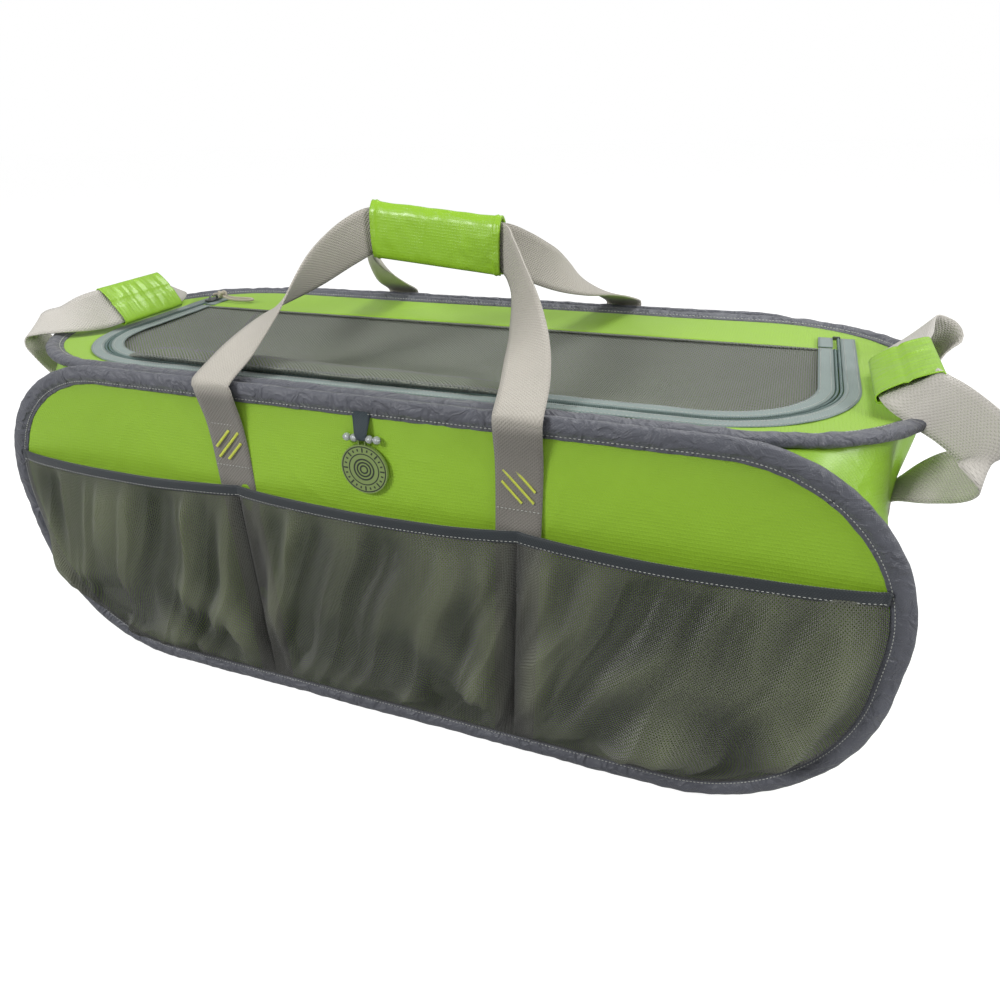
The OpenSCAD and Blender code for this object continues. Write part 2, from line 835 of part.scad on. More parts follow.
badge_tag();
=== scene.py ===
# %% [markdown]
# # A rope storage bag on four spring hoops
# The bag is a soft box. Two upright hoops hold its front and back, two flat hoops hold its top and
# bottom, and coated lime cloth, knitted mesh and webbing are sewn between them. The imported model
# gives every place and size, so this lesson only builds the looks around it, in metres.

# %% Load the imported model
import math

import bmesh
import bpy
from mathutils import Matrix, Vector, noise


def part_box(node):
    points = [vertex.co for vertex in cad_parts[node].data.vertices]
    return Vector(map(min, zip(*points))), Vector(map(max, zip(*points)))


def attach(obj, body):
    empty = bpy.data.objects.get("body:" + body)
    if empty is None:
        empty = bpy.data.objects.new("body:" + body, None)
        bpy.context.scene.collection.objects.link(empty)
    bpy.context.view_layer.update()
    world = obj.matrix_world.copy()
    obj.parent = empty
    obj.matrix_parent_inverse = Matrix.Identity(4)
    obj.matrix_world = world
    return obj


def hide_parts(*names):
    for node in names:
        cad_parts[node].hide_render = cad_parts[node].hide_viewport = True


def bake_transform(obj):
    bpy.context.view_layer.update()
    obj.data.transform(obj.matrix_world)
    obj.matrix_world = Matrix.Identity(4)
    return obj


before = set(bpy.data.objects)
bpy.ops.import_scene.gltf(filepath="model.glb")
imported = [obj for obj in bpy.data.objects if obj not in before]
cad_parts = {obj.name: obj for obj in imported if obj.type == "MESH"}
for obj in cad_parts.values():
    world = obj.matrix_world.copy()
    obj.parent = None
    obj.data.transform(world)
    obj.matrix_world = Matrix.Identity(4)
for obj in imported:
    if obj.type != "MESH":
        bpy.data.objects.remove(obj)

scene = bpy.context.scene
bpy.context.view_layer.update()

# %% [markdown]
# ## Camera
# The camera looks down on the long front side from a little to the right. A roll and a small shift
# frame the bag the way a hand-held camera would, and depth of field stays off.

# %% Camera
view_turn, view_tilt, view_roll = (math.radians(a) for a in (23.34, 33.98, -2.06))
view_aim = Vector((0, 0, 0.0307))
view_reach = 0.9355
view_back = Vector((math.sin(view_turn) * math.cos(view_tilt),
                    -math.cos(view_turn) * math.cos(view_tilt), math.sin(view_tilt)))
level_x = Vector((0, 0, 1)).cross(view_back).normalized()
level_y = view_back.cross(level_x)
roll_x = level_x * math.cos(view_roll) + level_y * math.sin(view_roll)
roll_y = level_y * math.cos(view_roll) - level_x * math.sin(view_roll)
view_axes = Matrix((roll_x, roll_y, view_back)).transposed().to_4x4()
camera = bpy.data.objects.new("camera", bpy.data.cameras.new("camera"))
scene.collection.objects.link(camera)
camera.matrix_world = Matrix.Translation(view_aim + view_back * view_reach) @ view_axes
camera.data.lens = 26.5
camera.data.shift_x, camera.data.shift_y = 0.045, 0.0998
camera.data.clip_start = 0.02
scene.camera = camera
print("camera at", [round(v, 3) for v in camera.location])

# %% [markdown]
# ## Light and floor
# A broad key lamp stands at the front left, a second lamp rakes the right end, and one behind gives
# the top its shine. The sky is weaker for the bag than for the camera, so that the ground looks
# white while the undersides of the bag still fall into shade.

# %% Light and floor
scene.view_settings.view_transform = "Standard"
scene.view_settings.look = "None"
world = scene.world or bpy.data.worlds.new("world")
scene.world = world
world.use_nodes = True
sky = world.node_tree.nodes["Background"]
sky.inputs["Color"].default_value = (1.0, 1.0, 1.0, 1.0)
sky_links = world.node_tree.links
sky_seen = world.node_tree.nodes.new("ShaderNodeLightPath")
sky_level = world.node_tree.nodes.new("ShaderNodeMapRange")
sky_level.inputs["To Min"].default_value = 0.42
sky_level.inputs["To Max"].default_value = 1.0
sky_links.new(sky_seen.outputs["Is Camera Ray"], sky_level.inputs["Value"])
sky_links.new(sky_level.outputs[0], sky.inputs["Strength"])


def lamp(name, place, size, power):
    """A square area lamp at place that faces the bag."""
    light = bpy.data.lights.new(name, "AREA")
    light.shape = "SQUARE"
    light.size = size
    light.energy = power
    made = bpy.data.objects.new(name, light)
    scene.collection.objects.link(made)
    aim = Vector((0, 0, 0.2)) - Vector(place)
    made.matrix_world = Matrix.Translation(place) @ aim.to_track_quat("-Z", "Y").to_matrix().to_4x4()


lamp("key_lamp", (-1.3, -1.9, 1.7), 0.8, 44)
lamp("right_lamp", (2.3, -0.5, 1.5), 1.0, 34)
lamp("top_lamp", (0.5, 1.0, 2.3), 1.0, 26)

# %% [markdown]
# ## Node helpers
# Materials are node trees, and a few short helpers keep them readable: one adds a node with its
# inputs, one does a step of maths, and one makes a group with named sockets.

# %% Node helpers
def srgb(red, green, blue):
    """Linear colour of a swatch given from 0 to 255."""
    linear = [((c / 255 + 0.055) / 1.055) ** 2.4 for c in (red, green, blue)]
    return (*linear, 1.0)


def add(tree, kind, inputs=None, **settings):
    """A node of that kind, with its settings and with values or sockets on its inputs."""
    made = tree.nodes.new(kind)
    for key, value in settings.items():
        setattr(made, key, value)
    for key, value in (inputs or {}).items():
        if isinstance(value, bpy.types.NodeSocket):
            tree.links.new(value, made.inputs[key])
        else:
            made.inputs[key].default_value = value
    return made


def maths(tree, how, *values):
    """One step of maths on numbers or sockets."""
    return add(tree, "ShaderNodeMath", dict(enumerate(values)), operation=how).outputs[0]


def group(name, inputs, outputs):
    """An empty node group with those sockets, given as name and socket kind."""
    tree = bpy.data.node_groups.new(name, "ShaderNodeTree")
    for socket, kind in inputs:
        tree.interface.new_socket(socket, in_out="INPUT", socket_type="NodeSocket" + kind)
    for socket, kind in outputs:
        tree.interface.new_socket(socket, in_out="OUTPUT", socket_type="NodeSocket" + kind)
    return tree, tree.nodes.new("NodeGroupInput").outputs, tree.nodes.new("NodeGroupOutput")


def split_by(tree, vector, step):
    """The first two coordinates of a vector, counted in steps."""
    parts = add(tree, "ShaderNodeSeparateXYZ", {0: vector}).outputs
    return maths(tree, "DIVIDE", parts[0], step), maths(tree, "DIVIDE", parts[1], step)


def wave(tree, count):
    """Cosine that peaks at every whole count."""
    return maths(tree, "COSINE", maths(tree, "MULTIPLY", count, 2 * math.pi))


# %% [markdown]
# ## Weave, knit and crease groups
# Several finishes share the same effects. Each effect is one node group that gives a height or a
# mask, and each material places it with its own pitch. All of them read the cloth's UV map, which
# is laid out in metres, so a thread keeps its real size on every piece.

# %% Ripstop group
def make_ripstop():
    """Fine woven grid that shows through a coated cloth."""
    tree, given, out = group("ripstop", [("Vector", "Vector"), ("Pitch", "Float")],
                             [("Height", "Float"), ("Line", "Float")])
    across, along = split_by(tree, given["Vector"], given["Pitch"])
    ribs = [maths(tree, "POWER", maths(tree, "ABSOLUTE", wave(tree, maths(tree, "MULTIPLY", c, 0.5))), 9)
            for c in (across, along)]
    line = maths(tree, "MAXIMUM", *ribs)
    fine = maths(tree, "MULTIPLY", wave(tree, maths(tree, "MULTIPLY", across, 4)),
                 wave(tree, maths(tree, "MULTIPLY", along, 4)))
    height = maths(tree, "ADD", line, maths(tree, "MULTIPLY", fine, 0.25))
    tree.links.new(height, out.inputs["Height"])
    tree.links.new(line, out.inputs["Line"])
    return tree


ripstop = make_ripstop()


# %% Knit group
def make_knit():
    """Staggered round holes of a warp-knitted mesh: Thread is 0 in a hole."""
    tree, given, out = group("knit", [("Vector", "Vector"), ("Pitch", "Float"), ("Opening", "Float")],
                             [("Thread", "Float"), ("Height", "Float")])
    across, along = split_by(tree, given["Vector"], given["Pitch"])
    stagger = maths(tree, "MULTIPLY", wave(tree, across), wave(tree, along))
    edge = maths(tree, "SUBTRACT", given["Opening"], stagger)
    thread = add(tree, "ShaderNodeMapRange",
                 {"Value": edge, "From Min": -0.08, "From Max": 0.08}).outputs[0]
    cord = maths(tree, "ABSOLUTE", stagger)
    tree.links.new(thread, out.inputs["Thread"])
    tree.links.new(maths(tree, "SUBTRACT", 1.0, cord), out.inputs["Height"])
    return tree


knit = make_knit()


# %% Webbing group
def make_weave():
    """Plain weave with ribs along the tape, for webbing and bindings."""
    tree, given, out = group("weave", [("Vector", "Vector"), ("Pitch", "Float")], [("Height", "Float")])
    across, along = split_by(tree, given["Vector"], given["Pitch"])
    over_under = maths(tree, "MULTIPLY", wave(tree, maths(tree, "MULTIPLY", across, 0.5)),
                       wave(tree, maths(tree, "MULTIPLY", along, 0.5)))
    ribs = maths(tree, "MULTIPLY", wave(tree, across), 0.35)
    tree.links.new(maths(tree, "ADD", over_under, ribs), out.inputs["Height"])
    return tree


weave = make_weave()


# %% Crease and tone groups
def make_creases():
    """Soft random creases: narrow ridges between flat patches."""
    tree, given, out = group("creases", [("Vector", "Vector"), ("Scale", "Float")], [("Height", "Float")])
    cloud = add(tree, "ShaderNodeTexNoise", {"Vector": given["Vector"], "Scale": given["Scale"],
                                             "Detail": 3.0, "Roughness": 0.45, "Distortion": 0.9})
    ridge = maths(tree, "ABSOLUTE", maths(tree, "SUBTRACT", cloud.outputs[0], 0.5))
    tree.links.new(maths(tree, "SUBTRACT", 1.0, maths(tree, "MULTIPLY", ridge, 4.0)), out.inputs["Height"])
    return tree


def make_tone():
    """Slow and fine changes of tone, as dye lots, light dust and handling leave them."""
    tree, given, out = group("tone", [("Color", "Color"), ("Vector", "Vector"), ("Scale", "Float"),
                                      ("Strength", "Float")], [("Color", "Color")])
    slow = add(tree, "ShaderNodeTexNoise",
               {"Vector": given["Vector"], "Scale": given["Scale"], "Detail": 5.0})
    swing = maths(tree, "MULTIPLY", maths(tree, "SUBTRACT", slow.outputs[0], 0.5), given["Strength"])
    value = maths(tree, "ADD", swing, 1.0)
    shaded = add(tree, "ShaderNodeHueSaturation", {"Color": given["Color"], "Value": value})
    tree.links.new(shaded.outputs[0], out.inputs["Color"])
    return tree


creases = make_creases()
tone = make_tone()
print("node groups", [g.name for g in bpy.data.node_groups])

# %% [markdown]
# ## Materials
# Coated cloth is a dyed weave under a thin clear skin, so it gets a soft grid and a faint coat.
# Webbing and bindings are bare yarn with sheen, and the mesh is yarn with real see-through holes.

# %% Material helper
def finish(name, color, rough, tone_scale=9.0, tone_strength=0.25, bumps=(), **shader_values):
    """A material with a toned colour and a chain of bumps: (group, values, depth, uses UV)."""
    material = bpy.data.materials.new(name)
    material.use_nodes = True
    tree = material.node_tree
    shader = tree.nodes["Principled BSDF"]
    where = add(tree, "ShaderNodeTexCoord").outputs
    toned = add(tree, "ShaderNodeGroup", node_tree=tone)
    toned.inputs["Color"].default_value = color
    toned.inputs["Scale"].default_value = tone_scale
    toned.inputs["Strength"].default_value = tone_strength
    tree.links.new(where["Object"], toned.inputs["Vector"])
    tree.links.new(toned.outputs["Color"], shader.inputs["Base Color"])
    shader.inputs["Roughness"].default_value = rough
    normal = None
    for effect, values, depth, on_uv in bumps:
        made = add(tree, "ShaderNodeGroup", node_tree=effect)
        tree.links.new(where["UV" if on_uv else "Object"], made.inputs["Vector"])
        for key, value in values.items():
            made.inputs[key].default_value = value
        bump = add(tree, "ShaderNodeBump", {"Height": made.outputs["Height"], "Distance": depth})
        if normal:
            tree.links.new(normal, bump.inputs["Normal"])
        normal = bump.outputs[0]
    if normal:
        tree.links.new(normal, shader.inputs["Normal"])
    for key, value in shader_values.items():
        socket = "IOR" if key == "ior" else key.replace("_", " ").title()
        shader.inputs[socket].default_value = value
    return material


def paint_fold_shade(material, dark, light):
    """Paints shade into the valleys of gathered mesh and painted highlight onto its ridges: the cloth's
    second UV map holds how deep each point is.
    """
    tree = material.node_tree
    shader = tree.nodes["Principled BSDF"]
    depth = add(tree, "ShaderNodeSeparateXYZ", {0: add(tree, "ShaderNodeUVMap", uv_map="Folds").outputs[0]})
    level = add(tree, "ShaderNodeMapRange", {"Value": depth.outputs[0], "To Min": dark, "To Max": light})
    colour = shader.inputs["Base Color"].links[0].from_socket
    shaded = add(tree, "ShaderNodeHueSaturation", {"Color": colour, "Value": level.outputs[0]})
    tree.links.new(shaded.outputs[0], shader.inputs["Base Color"])


def add_holes(material, pitch, opening):
    """Cuts the knit's holes out of a mesh cloth through its alpha."""
    tree = material.node_tree
    holes = add(tree, "ShaderNodeGroup", node_tree=knit)
    holes.inputs["Pitch"].default_value = pitch
    holes.inputs["Opening"].default_value = opening
    tree.links.new(add(tree, "ShaderNodeTexCoord").outputs["UV"], holes.inputs["Vector"])
    tree.links.new(holes.outputs["Thread"], tree.nodes["Principled BSDF"].inputs["Alpha"])


def paint_shade_below(material, low, high, share):
    """Paints shade into a material's colour below a height."""
    tree = material.node_tree
    shader = tree.nodes["Principled BSDF"]
    height = add(tree, "ShaderNodeSeparateXYZ", {0: add(tree, "ShaderNodeTexCoord").outputs["Object"]})
    level = add(tree, "ShaderNodeMapRange", {"Value": height.outputs[2], "From Min": low, "From Max": high,
                                             "To Min": share, "To Max": 1.0}, interpolation_type="SMOOTHSTEP")
    colour = shader.inputs["Base Color"].links[0].from_socket
    shaded = add(tree, "ShaderNodeHueSaturation", {"Color": colour, "Value": level.outputs[0]})
    tree.links.new(shaded.outputs[0], shader.inputs["Base Color"])


# %% Cloth materials
panel_pitch = 0.0026
mesh_pitch = 0.0034
lid_pitch = mesh_pitch * 1.1
web_pitch = 0.0012
lime = srgb(140, 183, 34)
matte_lime = finish("lime_coated_cloth", lime, 0.52, 7, 0.16,
                    [(ripstop, {"Pitch": panel_pitch}, 0.00018, True),
                     (creases, {"Scale": 14}, 0.0006, False)], sheen_weight=0.1)
gloss_lime = finish("lime_glossy_cloth", srgb(142, 190, 34), 0.34, 10, 0.2,
                    [(ripstop, {"Pitch": panel_pitch}, 0.00010, True),
                     (creases, {"Scale": 17}, 0.0011, False)], coat_weight=0.4, coat_roughness=0.2)
binding_grey = finish("binding_tape", srgb(80, 82, 90), 0.46, 30, 0.4,
                      [(weave, {"Pitch": web_pitch}, 0.00008, True),
                       (creases, {"Scale": 60}, 0.0018, False)], sheen_weight=0.15)
web_bumps = [(weave, {"Pitch": web_pitch * 1.3}, 0.00026, True)]
# Two copies of one webbing: the carry straps' copy gets painted shade below the top of the hoop, and the end
# handles' copy is a lighter, lit copy without it.
webbing, lit_webbing = (
    finish(name, swatch, 0.72, 18, 0.2, web_bumps, sheen_weight=0.2)
    for name, swatch in (("taupe_webbing", srgb(176, 171, 161)), ("lit_webbing", srgb(190, 186, 178))))
# Painted shade: the carry straps' webbing is darkened below the top of the hoop.
paint_shade_below(webbing, 0.338, 0.358, 0.42)
edging_slate = finish("slate_edging", srgb(27, 35, 40), 0.5, 30, 0.35,
                      [(weave, {"Pitch": web_pitch}, 0.0001, True)], sheen_weight=0.2)
badge_slate = finish("badge_webbing", srgb(46, 58, 64), 0.6, 30, 0.3,
                     [(weave, {"Pitch": web_pitch}, 0.0002, True)])
tape_teal = finish("zip_tape_cloth", srgb(116, 132, 128), 0.66, 40, 0.2,
                   [(weave, {"Pitch": web_pitch}, 0.00016, True)], sheen_weight=0.2)
pocket_mesh = finish("pocket_mesh", srgb(108, 113, 86), 0.6, 16, 0.3,
                     [(knit, {"Pitch": mesh_pitch, "Opening": 0.3}, 0.0022, True)], sheen_weight=0.3)
lid_mesh = finish("lid_mesh", srgb(122, 127, 114), 0.6, 12, 0.3,
                  [(knit, {"Pitch": lid_pitch, "Opening": 0.3}, 0.0012, True)], sheen_weight=0.25)
# Painted shade in the pockets' fold valleys and painted highlight on their ridges.
paint_fold_shade(pocket_mesh, 0.16, 1.55)
add_holes(pocket_mesh, mesh_pitch, 0.58)
add_holes(lid_mesh, lid_pitch, 0.42)

# %% Thread, metal and plastic materials
light_thread = finish("pale_thread", srgb(176, 178, 172), 0.55, 200, 0.3, sheen_weight=0.2)
lime_thread = finish("yellow_green_thread", srgb(196, 204, 72), 0.5, 200, 0.3, sheen_weight=0.2)
dark_thread = finish("slate_thread", srgb(60, 66, 74), 0.6, 200, 0.3)
coil_teal = finish("zip_coil_plastic", srgb(84, 104, 100), 0.36, 120, 0.3)
cord_beige = finish("beige_cord", srgb(178, 170, 150), 0.7, 90, 0.3,
                    [(weave, {"Pitch": 0.0009}, 0.0003, True)], sheen_weight=0.3)
spring_steel = finish("spring_steel", srgb(150, 152, 156), 0.35, 60, 0.3, metallic=1.0)
zip_metal = finish("painted_zip_metal", srgb(112, 116, 116), 0.34, 80, 0.3, metallic=0.9)
hook_strip = finish("hook_and_loop", srgb(40, 44, 46), 0.85, 300, 0.6)
tag_green = finish("tag_plastic", srgb(118, 138, 76), 0.28, 60, 0.2, coat_weight=0.4)
tag_ink = finish("tag_print", srgb(38, 46, 34), 0.5, 90, 0.3)
bead_glass = finish("bead_glass", srgb(226, 232, 230), 0.06, 40, 0.02, transmission_weight=0.6, ior=1.5)
floor_paint = finish("pale_floor", srgb(172, 172, 172), 0.8, 1.5, 0.02)
floor_shader = floor_paint.node_tree.nodes["Principled BSDF"]
floor_seen = maths(floor_paint.node_tree, "MULTIPLY",
                   add(floor_paint.node_tree, "ShaderNodeLightPath").outputs["Is Camera Ray"], 0.8)
floor_shader.inputs["Emission Color"].default_value = (1.0, 1.0, 1.0, 1.0)
floor_paint.node_tree.links.new(floor_seen, floor_shader.inputs["Emission Strength"])
print(len(bpy.data.materials), "materials")

# %% [markdown]
# ## Shape helpers
# Almost every piece is cloth, so one helper does most of the work: it makes a grid and puts each of
# its points where a formula says. Closed tubes are the same grid with its edges merged.

# %% Grid and piece helpers
def cloth_grid(across, up, span, place):
    """A grid of across by up faces, each point at place(s, t) for s and t from 0 to 1.
    Its UV map is in metres: span is the cloth's width and length."""
    bm = bmesh.new()
    uv = bm.loops.layers.uv.new("UVMap")
    bmesh.ops.create_grid(bm, x_segments=across, y_segments=up, size=1)
    for face in bm.faces:
        face.smooth = True
        for loop in face.loops:
            loop[uv].uv = ((loop.vert.co.x + 1) / 2 * span[0], (loop.vert.co.y + 1) / 2 * span[1])
    for vert in bm.verts:
        vert.co = place((vert.co.x + 1) / 2, (vert.co.y + 1) / 2)
    return bm


def face_out(bm):
    """Turns every face outwards."""
    bmesh.ops.recalc_face_normals(bm, faces=bm.faces)
    return bm


def close_up(bm, caps=False):
    """Merges the edges that meet, so that a rolled grid is a tube, and caps its ends."""
    bmesh.ops.remove_doubles(bm, verts=bm.verts, dist=1e-6)
    if caps:
        bmesh.ops.holes_fill(bm, edges=[e for e in bm.edges if e.is_boundary])
    return face_out(bm)


def lay_uv_flat(bm):
    """Reads the UV map of a flat-lying cloth straight from its x and y."""
    uv = bm.loops.layers.uv.active
    for face in bm.faces:
        for loop in face.loops:
            loop[uv].uv = loop.vert.co.xy
    return bm


def as_object(bm, name, material, body=None, replaces=(), thick=0.0):
    """Turns a bmesh into a finished piece that rides on a body."""
    mesh = bpy.data.meshes.new(name)
    bm.to_mesh(mesh)
    bm.free()
    made = bpy.data.objects.new(name, mesh)
    scene.collection.objects.link(made)
    mesh.materials.append(material)
    if thick:
        shell = made.modifiers.new("thickness", "SOLIDIFY")
        shell.thickness = thick
        shell.offset = 0.0
    if replaces:
        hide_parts(*replaces)
    if body:
        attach(made, body)
    print(name, len(mesh.polygons), "faces")
    return made


# %% Line helpers
def through(points):
    """A smooth line through points: at(t) for t from 0 to 1, at an even pace along its length."""
    points = [Vector(p) for p in points]
    last = len(points) - 1
    ends = [points[0] * 2 - points[1], *points, points[-1] * 2 - points[-2]]

    def raw(t):
        k = min(int(t * last), last - 1)
        a, b, c, d = ends[k:k + 4]
        f = t * last - k
        return 0.5 * ((b * 2) + (c - a) * f + (a * 2 - b * 5 + c * 4 - d) * f * f
                      + (b * 3 - a - c * 3 + d) * f * f * f)

    fine = 24 * last
    marks = [0.0]
    for i in range(fine):
        marks.append(marks[-1] + (raw((i + 1) / fine) - raw(i / fine)).length)

    def pace(share):
        want = share * marks[-1]
        low, high = 0, fine
        while high - low > 1:
            mid = (low + high) // 2
            low, high = (mid, high) if marks[mid] <= want else (low, mid)
        return (low + (want - marks[low]) / max(marks[high] - marks[low], 1e-9)) / fine

    return raw, pace, marks[-1]


def noise_at(*where):
    """Smooth noise from -1 to 1, the same on every run."""
    return noise.noise(Vector(where))


def ease(low, high, value):
    """0 below low, 1 above high and a smooth step between."""
    t = min(1.0, max(0.0, (value - low) / (high - low)))
    return t * t * (3 - 2 * t)


# %% Stitch and tube helpers
def stitches(bm, spots, long, wide, high):
    """Sews small beads of thread: each spot is a point, a direction and the cloth's normal."""
    for point, along, normal in spots:
        along = along.normalized()
        side = normal.cross(along).normalized()
        up = along.cross(side)
        turn = Matrix((along, side, up)).transposed().to_4x4()
        size = Matrix.Diagonal((long / 2, wide / 2, high / 2, 1))
        bmesh.ops.create_icosphere(bm, subdivisions=1, radius=1,
                                   matrix=Matrix.Translation(point) @ turn @ size)
    for face in bm.faces:
        face.smooth = True


def tube(points, radius, around=12, steps=80):
    """A round tube along a smooth line through points, with closed ends."""
    raw, pace, length = through(points)

    def place(s, t):
        u = pace(t)
        here = raw(u)
        ahead = (raw(min(1, u + 0.01)) - raw(max(0, u - 0.01))).normalized()
        side = ahead.cross(Vector((0.13, 0.21, 0.97))).normalized()
        up = side.cross(ahead)
        angle = 2 * math.pi * s
        return here + (side * math.cos(angle) + up * math.sin(angle)) * radius

    bm = cloth_grid(around, steps, (2 * math.pi * radius, length), place)
    return close_up(bm, caps=True)


# %% [markdown]
# ## Sizes from the frame
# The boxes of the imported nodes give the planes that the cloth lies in. The corner radii of the hoops
# and the widths of their tape, like the zip's line further down, can't be read from a box, so the
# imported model's own values are repeated.

# %% Sizes from the frame
mm = 0.001
front_low, front_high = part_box("front_hoop_binding")
top_low, top_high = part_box("top_hoop_binding")
half_l = front_high.x
bag_h = front_high.z
front_r = 160 * mm
top_r = 150 * mm
binding_w = 18 * mm
binding_t = front_high.y - front_low.y
front_y = (front_low.y + front_high.y) / 2
top_z = (top_low.z + top_high.z) / 2
top_half_y = top_high.y
strap_x = (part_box("front_right_strap")[0].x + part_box("front_right_strap")[1].x) / 2
web_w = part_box("front_right_strap")[1].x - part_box("front_right_strap")[0].x
web_t = 2 * mm
print("hoop half length", half_l, "strap at", round(strap_x, 3))


# %% [markdown]
# ## Hoop outline
# Each hoop is a long rectangle with round corners. The outline function gives a point and the
# direction out of the hoop for any distance along it, and bindings, stitches and panels use it.

# %% Hoop outline
def hoop(half_a, half_b, radius):
    """Length of a rounded rectangle and at(distance), which gives its point and outward direction."""
    a, b = half_a - radius, half_b - radius
    runs = [2 * a, 2 * b, 2 * a, 2 * b]
    quarter = math.pi / 2 * radius
    corners = [(-a, -b), (a, -b), (a, b), (-a, b)]
    total = sum(runs) + 4 * quarter

    def at(distance):
        distance %= total
        for k, run in enumerate(runs):
            turn = (k - 1) * math.pi / 2
            out = Vector((math.cos(turn), math.sin(turn)))
            if distance <= run:
                return Vector(corners[k]) + Vector((-out.y, out.x)) * distance + out * radius, out
            distance -= run
            if distance <= quarter:
                turn += distance / radius
                out = Vector((math.cos(turn), math.sin(turn)))
                return Vector(corners[(k + 1) % 4]) + out * radius, out
            distance -= quarter
        return at(0)

    return total, at


def half_width(height, half_a, half_b, radius):
    """Half of a rounded rectangle's length at a height from its middle."""
    beyond = max(0.0, abs(height) - (half_b - radius))
    return half_a - radius + math.sqrt(max(0.0, radius * radius - beyond * beyond))


# %% [markdown]
# ## Front, back and bottom panels
# The coated panels are single sheets, stretched in their hoops and a little slack between them. A
# flat grid with its rows cut to the hoop's outline, and a slow wave across it, looks like cloth
# where a plain plate would look like board.

# %% Panels
panel_inset = 12 * mm
panel_t = 0.9 * mm


def stretched_panel(name, half_a, half_b, radius, lay, slack, seed, cells=(150, 64)):
    """A panel whose rows end on a rounded outline; lay(x, z, wave) puts a point in place."""
    a, b, r = half_a - panel_inset, half_b - panel_inset, radius - panel_inset

    def place(s, t):
        height = b * math.sin(math.radians(90 * (2 * t - 1)))
        x = (2 * s - 1) * half_width(height, a, b, r)
        rim = (1 - (2 * s - 1) ** 6) * (1 - (2 * t - 1) ** 6)
        ripple = noise_at(x * 7, height * 9, seed) + 0.35 * noise_at(x * 26, height * 16, seed)
        return lay(x, height, slack * rim * ripple)

    bm = cloth_grid(*cells, (2 * a, 2 * b), place)
    made = as_object(bm, name + "_cloth", matte_lime, "bag", (name,), panel_t)
    return made


front_mid = bag_h / 2
stretched_panel("front_panel", half_l, front_mid, front_r,
                lambda x, z, w: Vector((x, front_y + w, front_mid + z)), 2.2 * mm, 1.7)
stretched_panel("back_panel", half_l, front_mid, front_r,
                lambda x, z, w: Vector((-x, -front_y + w, front_mid + z)), 2.6 * mm, 5.3)
stretched_panel("bottom_panel", half_l, top_half_y, top_r,
                lambda x, z, w: Vector((-x, z, 1.6 * mm + abs(w))), 1.2 * mm, 8.1)

# %% [markdown]
# ## End panels
# Each end is one glossy sheet that hangs between four half rounds. It is drawn inward at its middle
# and falls into long soft folds that start at the hoops. The folds are real shape, not only bump.

# %% End panels
end_corner_x = half_l - max(front_r, top_r)
end_reach = half_l - 9 * mm - end_corner_x
end_half_y = top_half_y + 1.5 * mm
end_half_z = bag_h / 2 - 10.5 * mm
end_draw = 0.18


def end_surface(u, v):
    """Distance of the end sheet from the middle of the bag, for u and v from -1 to 1."""
    drawn = 1 - end_draw * (1 - u * u) * (1 - v * v)
    return end_corner_x + end_reach * math.sqrt(max(0.0, 1 - u * u * v * v)) * drawn


tab_y, tab_z = 88 * mm, 280 * mm


def end_sheet(u, v, seed):
    """The same with its folds, which are calm where the handle's ends are sewn on."""
    free = ((1 - u * u) * (1 - v * v)) ** 0.5
    long_folds = noise_at(u * 5 + v * u * 3, v * 0.9, seed)
    cross_folds = 1 - abs(noise_at(u * 3 + v * 1.4, v * 4.5, seed + 4)) * 2.4
    off_y, off_z = (abs(u) * end_half_y - tab_y) / 0.034, (front_mid + v * end_half_z - tab_z) / 0.036
    calm = 1 - math.exp(-off_y ** 4 - off_z ** 4)
    return end_surface(u, v) - 2 * mm + calm * free * (11 * mm * long_folds + 2.5 * mm * cross_folds)


def end_panel(name, side, seed):
    """One end sheet; side is 1 for the right end and -1 for the left."""

    def place(s, t):
        u = math.sin(math.radians(90 * (2 * s - 1)))
        v = math.sin(math.radians(90 * (2 * t - 1)))
        return Vector((side * end_sheet(u, v, seed), side * u * end_half_y, front_mid + v * end_half_z))

    bm = cloth_grid(90, 90, (2 * end_half_y, 2 * end_half_z), place)
    made = as_object(bm, name + "_cloth", gloss_lime, "bag", (name,), panel_t)
    return made


end_panel("right_end_panel", 1, 3.3)
end_panel("left_end_panel", -1, 9.6)

# %% [markdown]
# ## Lid opening
# The top is a lime frame with a U-shaped zip, and the mesh lid inside the U. All of it is drawn
# from the zip's coil line, grown or shrunk by a distance.

# %% Lid line
tape_near, tape_far = 3.4 * mm, 16.4 * mm
zip_x = 368 * mm
zip_front = -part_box("zip_tape_body")[0].y - tape_far
zip_r = 100 * mm
seam_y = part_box("lid_mesh")[1].y + 1.5 * mm
zip_tail_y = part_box("zip_coil_body")[1].y


def lid_half_width(y, grow):
    """Half of the lid's width at y, for the coil line grown by a distance."""
    radius = zip_r + grow
    beyond = max(0.0, (-zip_front + zip_r) - y)
    return zip_x - zip_r + math.sqrt(max(0.0, radius * radius - beyond * beyond))


def zip_line(grow, back):
    """Length of the U and at(distance), from the left back end round the front to the right."""
    side = back + zip_front - zip_r
    quarter = math.pi / 2 * (zip_r + grow)
    front = 2 * (zip_x - zip_r)
    total = 2 * side + 2 * quarter + front

    def at(d):
        if d < side:
            return Vector((-zip_x - grow, back - d)), Vector((-1, 0))
        d -= side
        if d < quarter:
            turn = math.pi + d / (zip_r + grow)
            out = Vector((math.cos(turn), math.sin(turn)))
            return Vector((-zip_x + zip_r, -zip_front + zip_r)) + out * (zip_r + grow), out
        d -= quarter
        if d < front:
            return Vector((-zip_x + zip_r + d, -zip_front - grow)), Vector((0, -1))
        d -= front
        if d < quarter:
            turn = 1.5 * math.pi + d / (zip_r + grow)
            out = Vector((math.cos(turn), math.sin(turn)))
            return Vector((zip_x - zip_r, -zip_front + zip_r)) + out * (zip_r + grow), out
        d -= quarter
        return Vector((zip_x + grow, -zip_front + zip_r + d)), Vector((1, 0))

    return total, at


# %% Top frame
frame_cells = (360, 10)
frame_centre = Vector((0, -35 * mm))


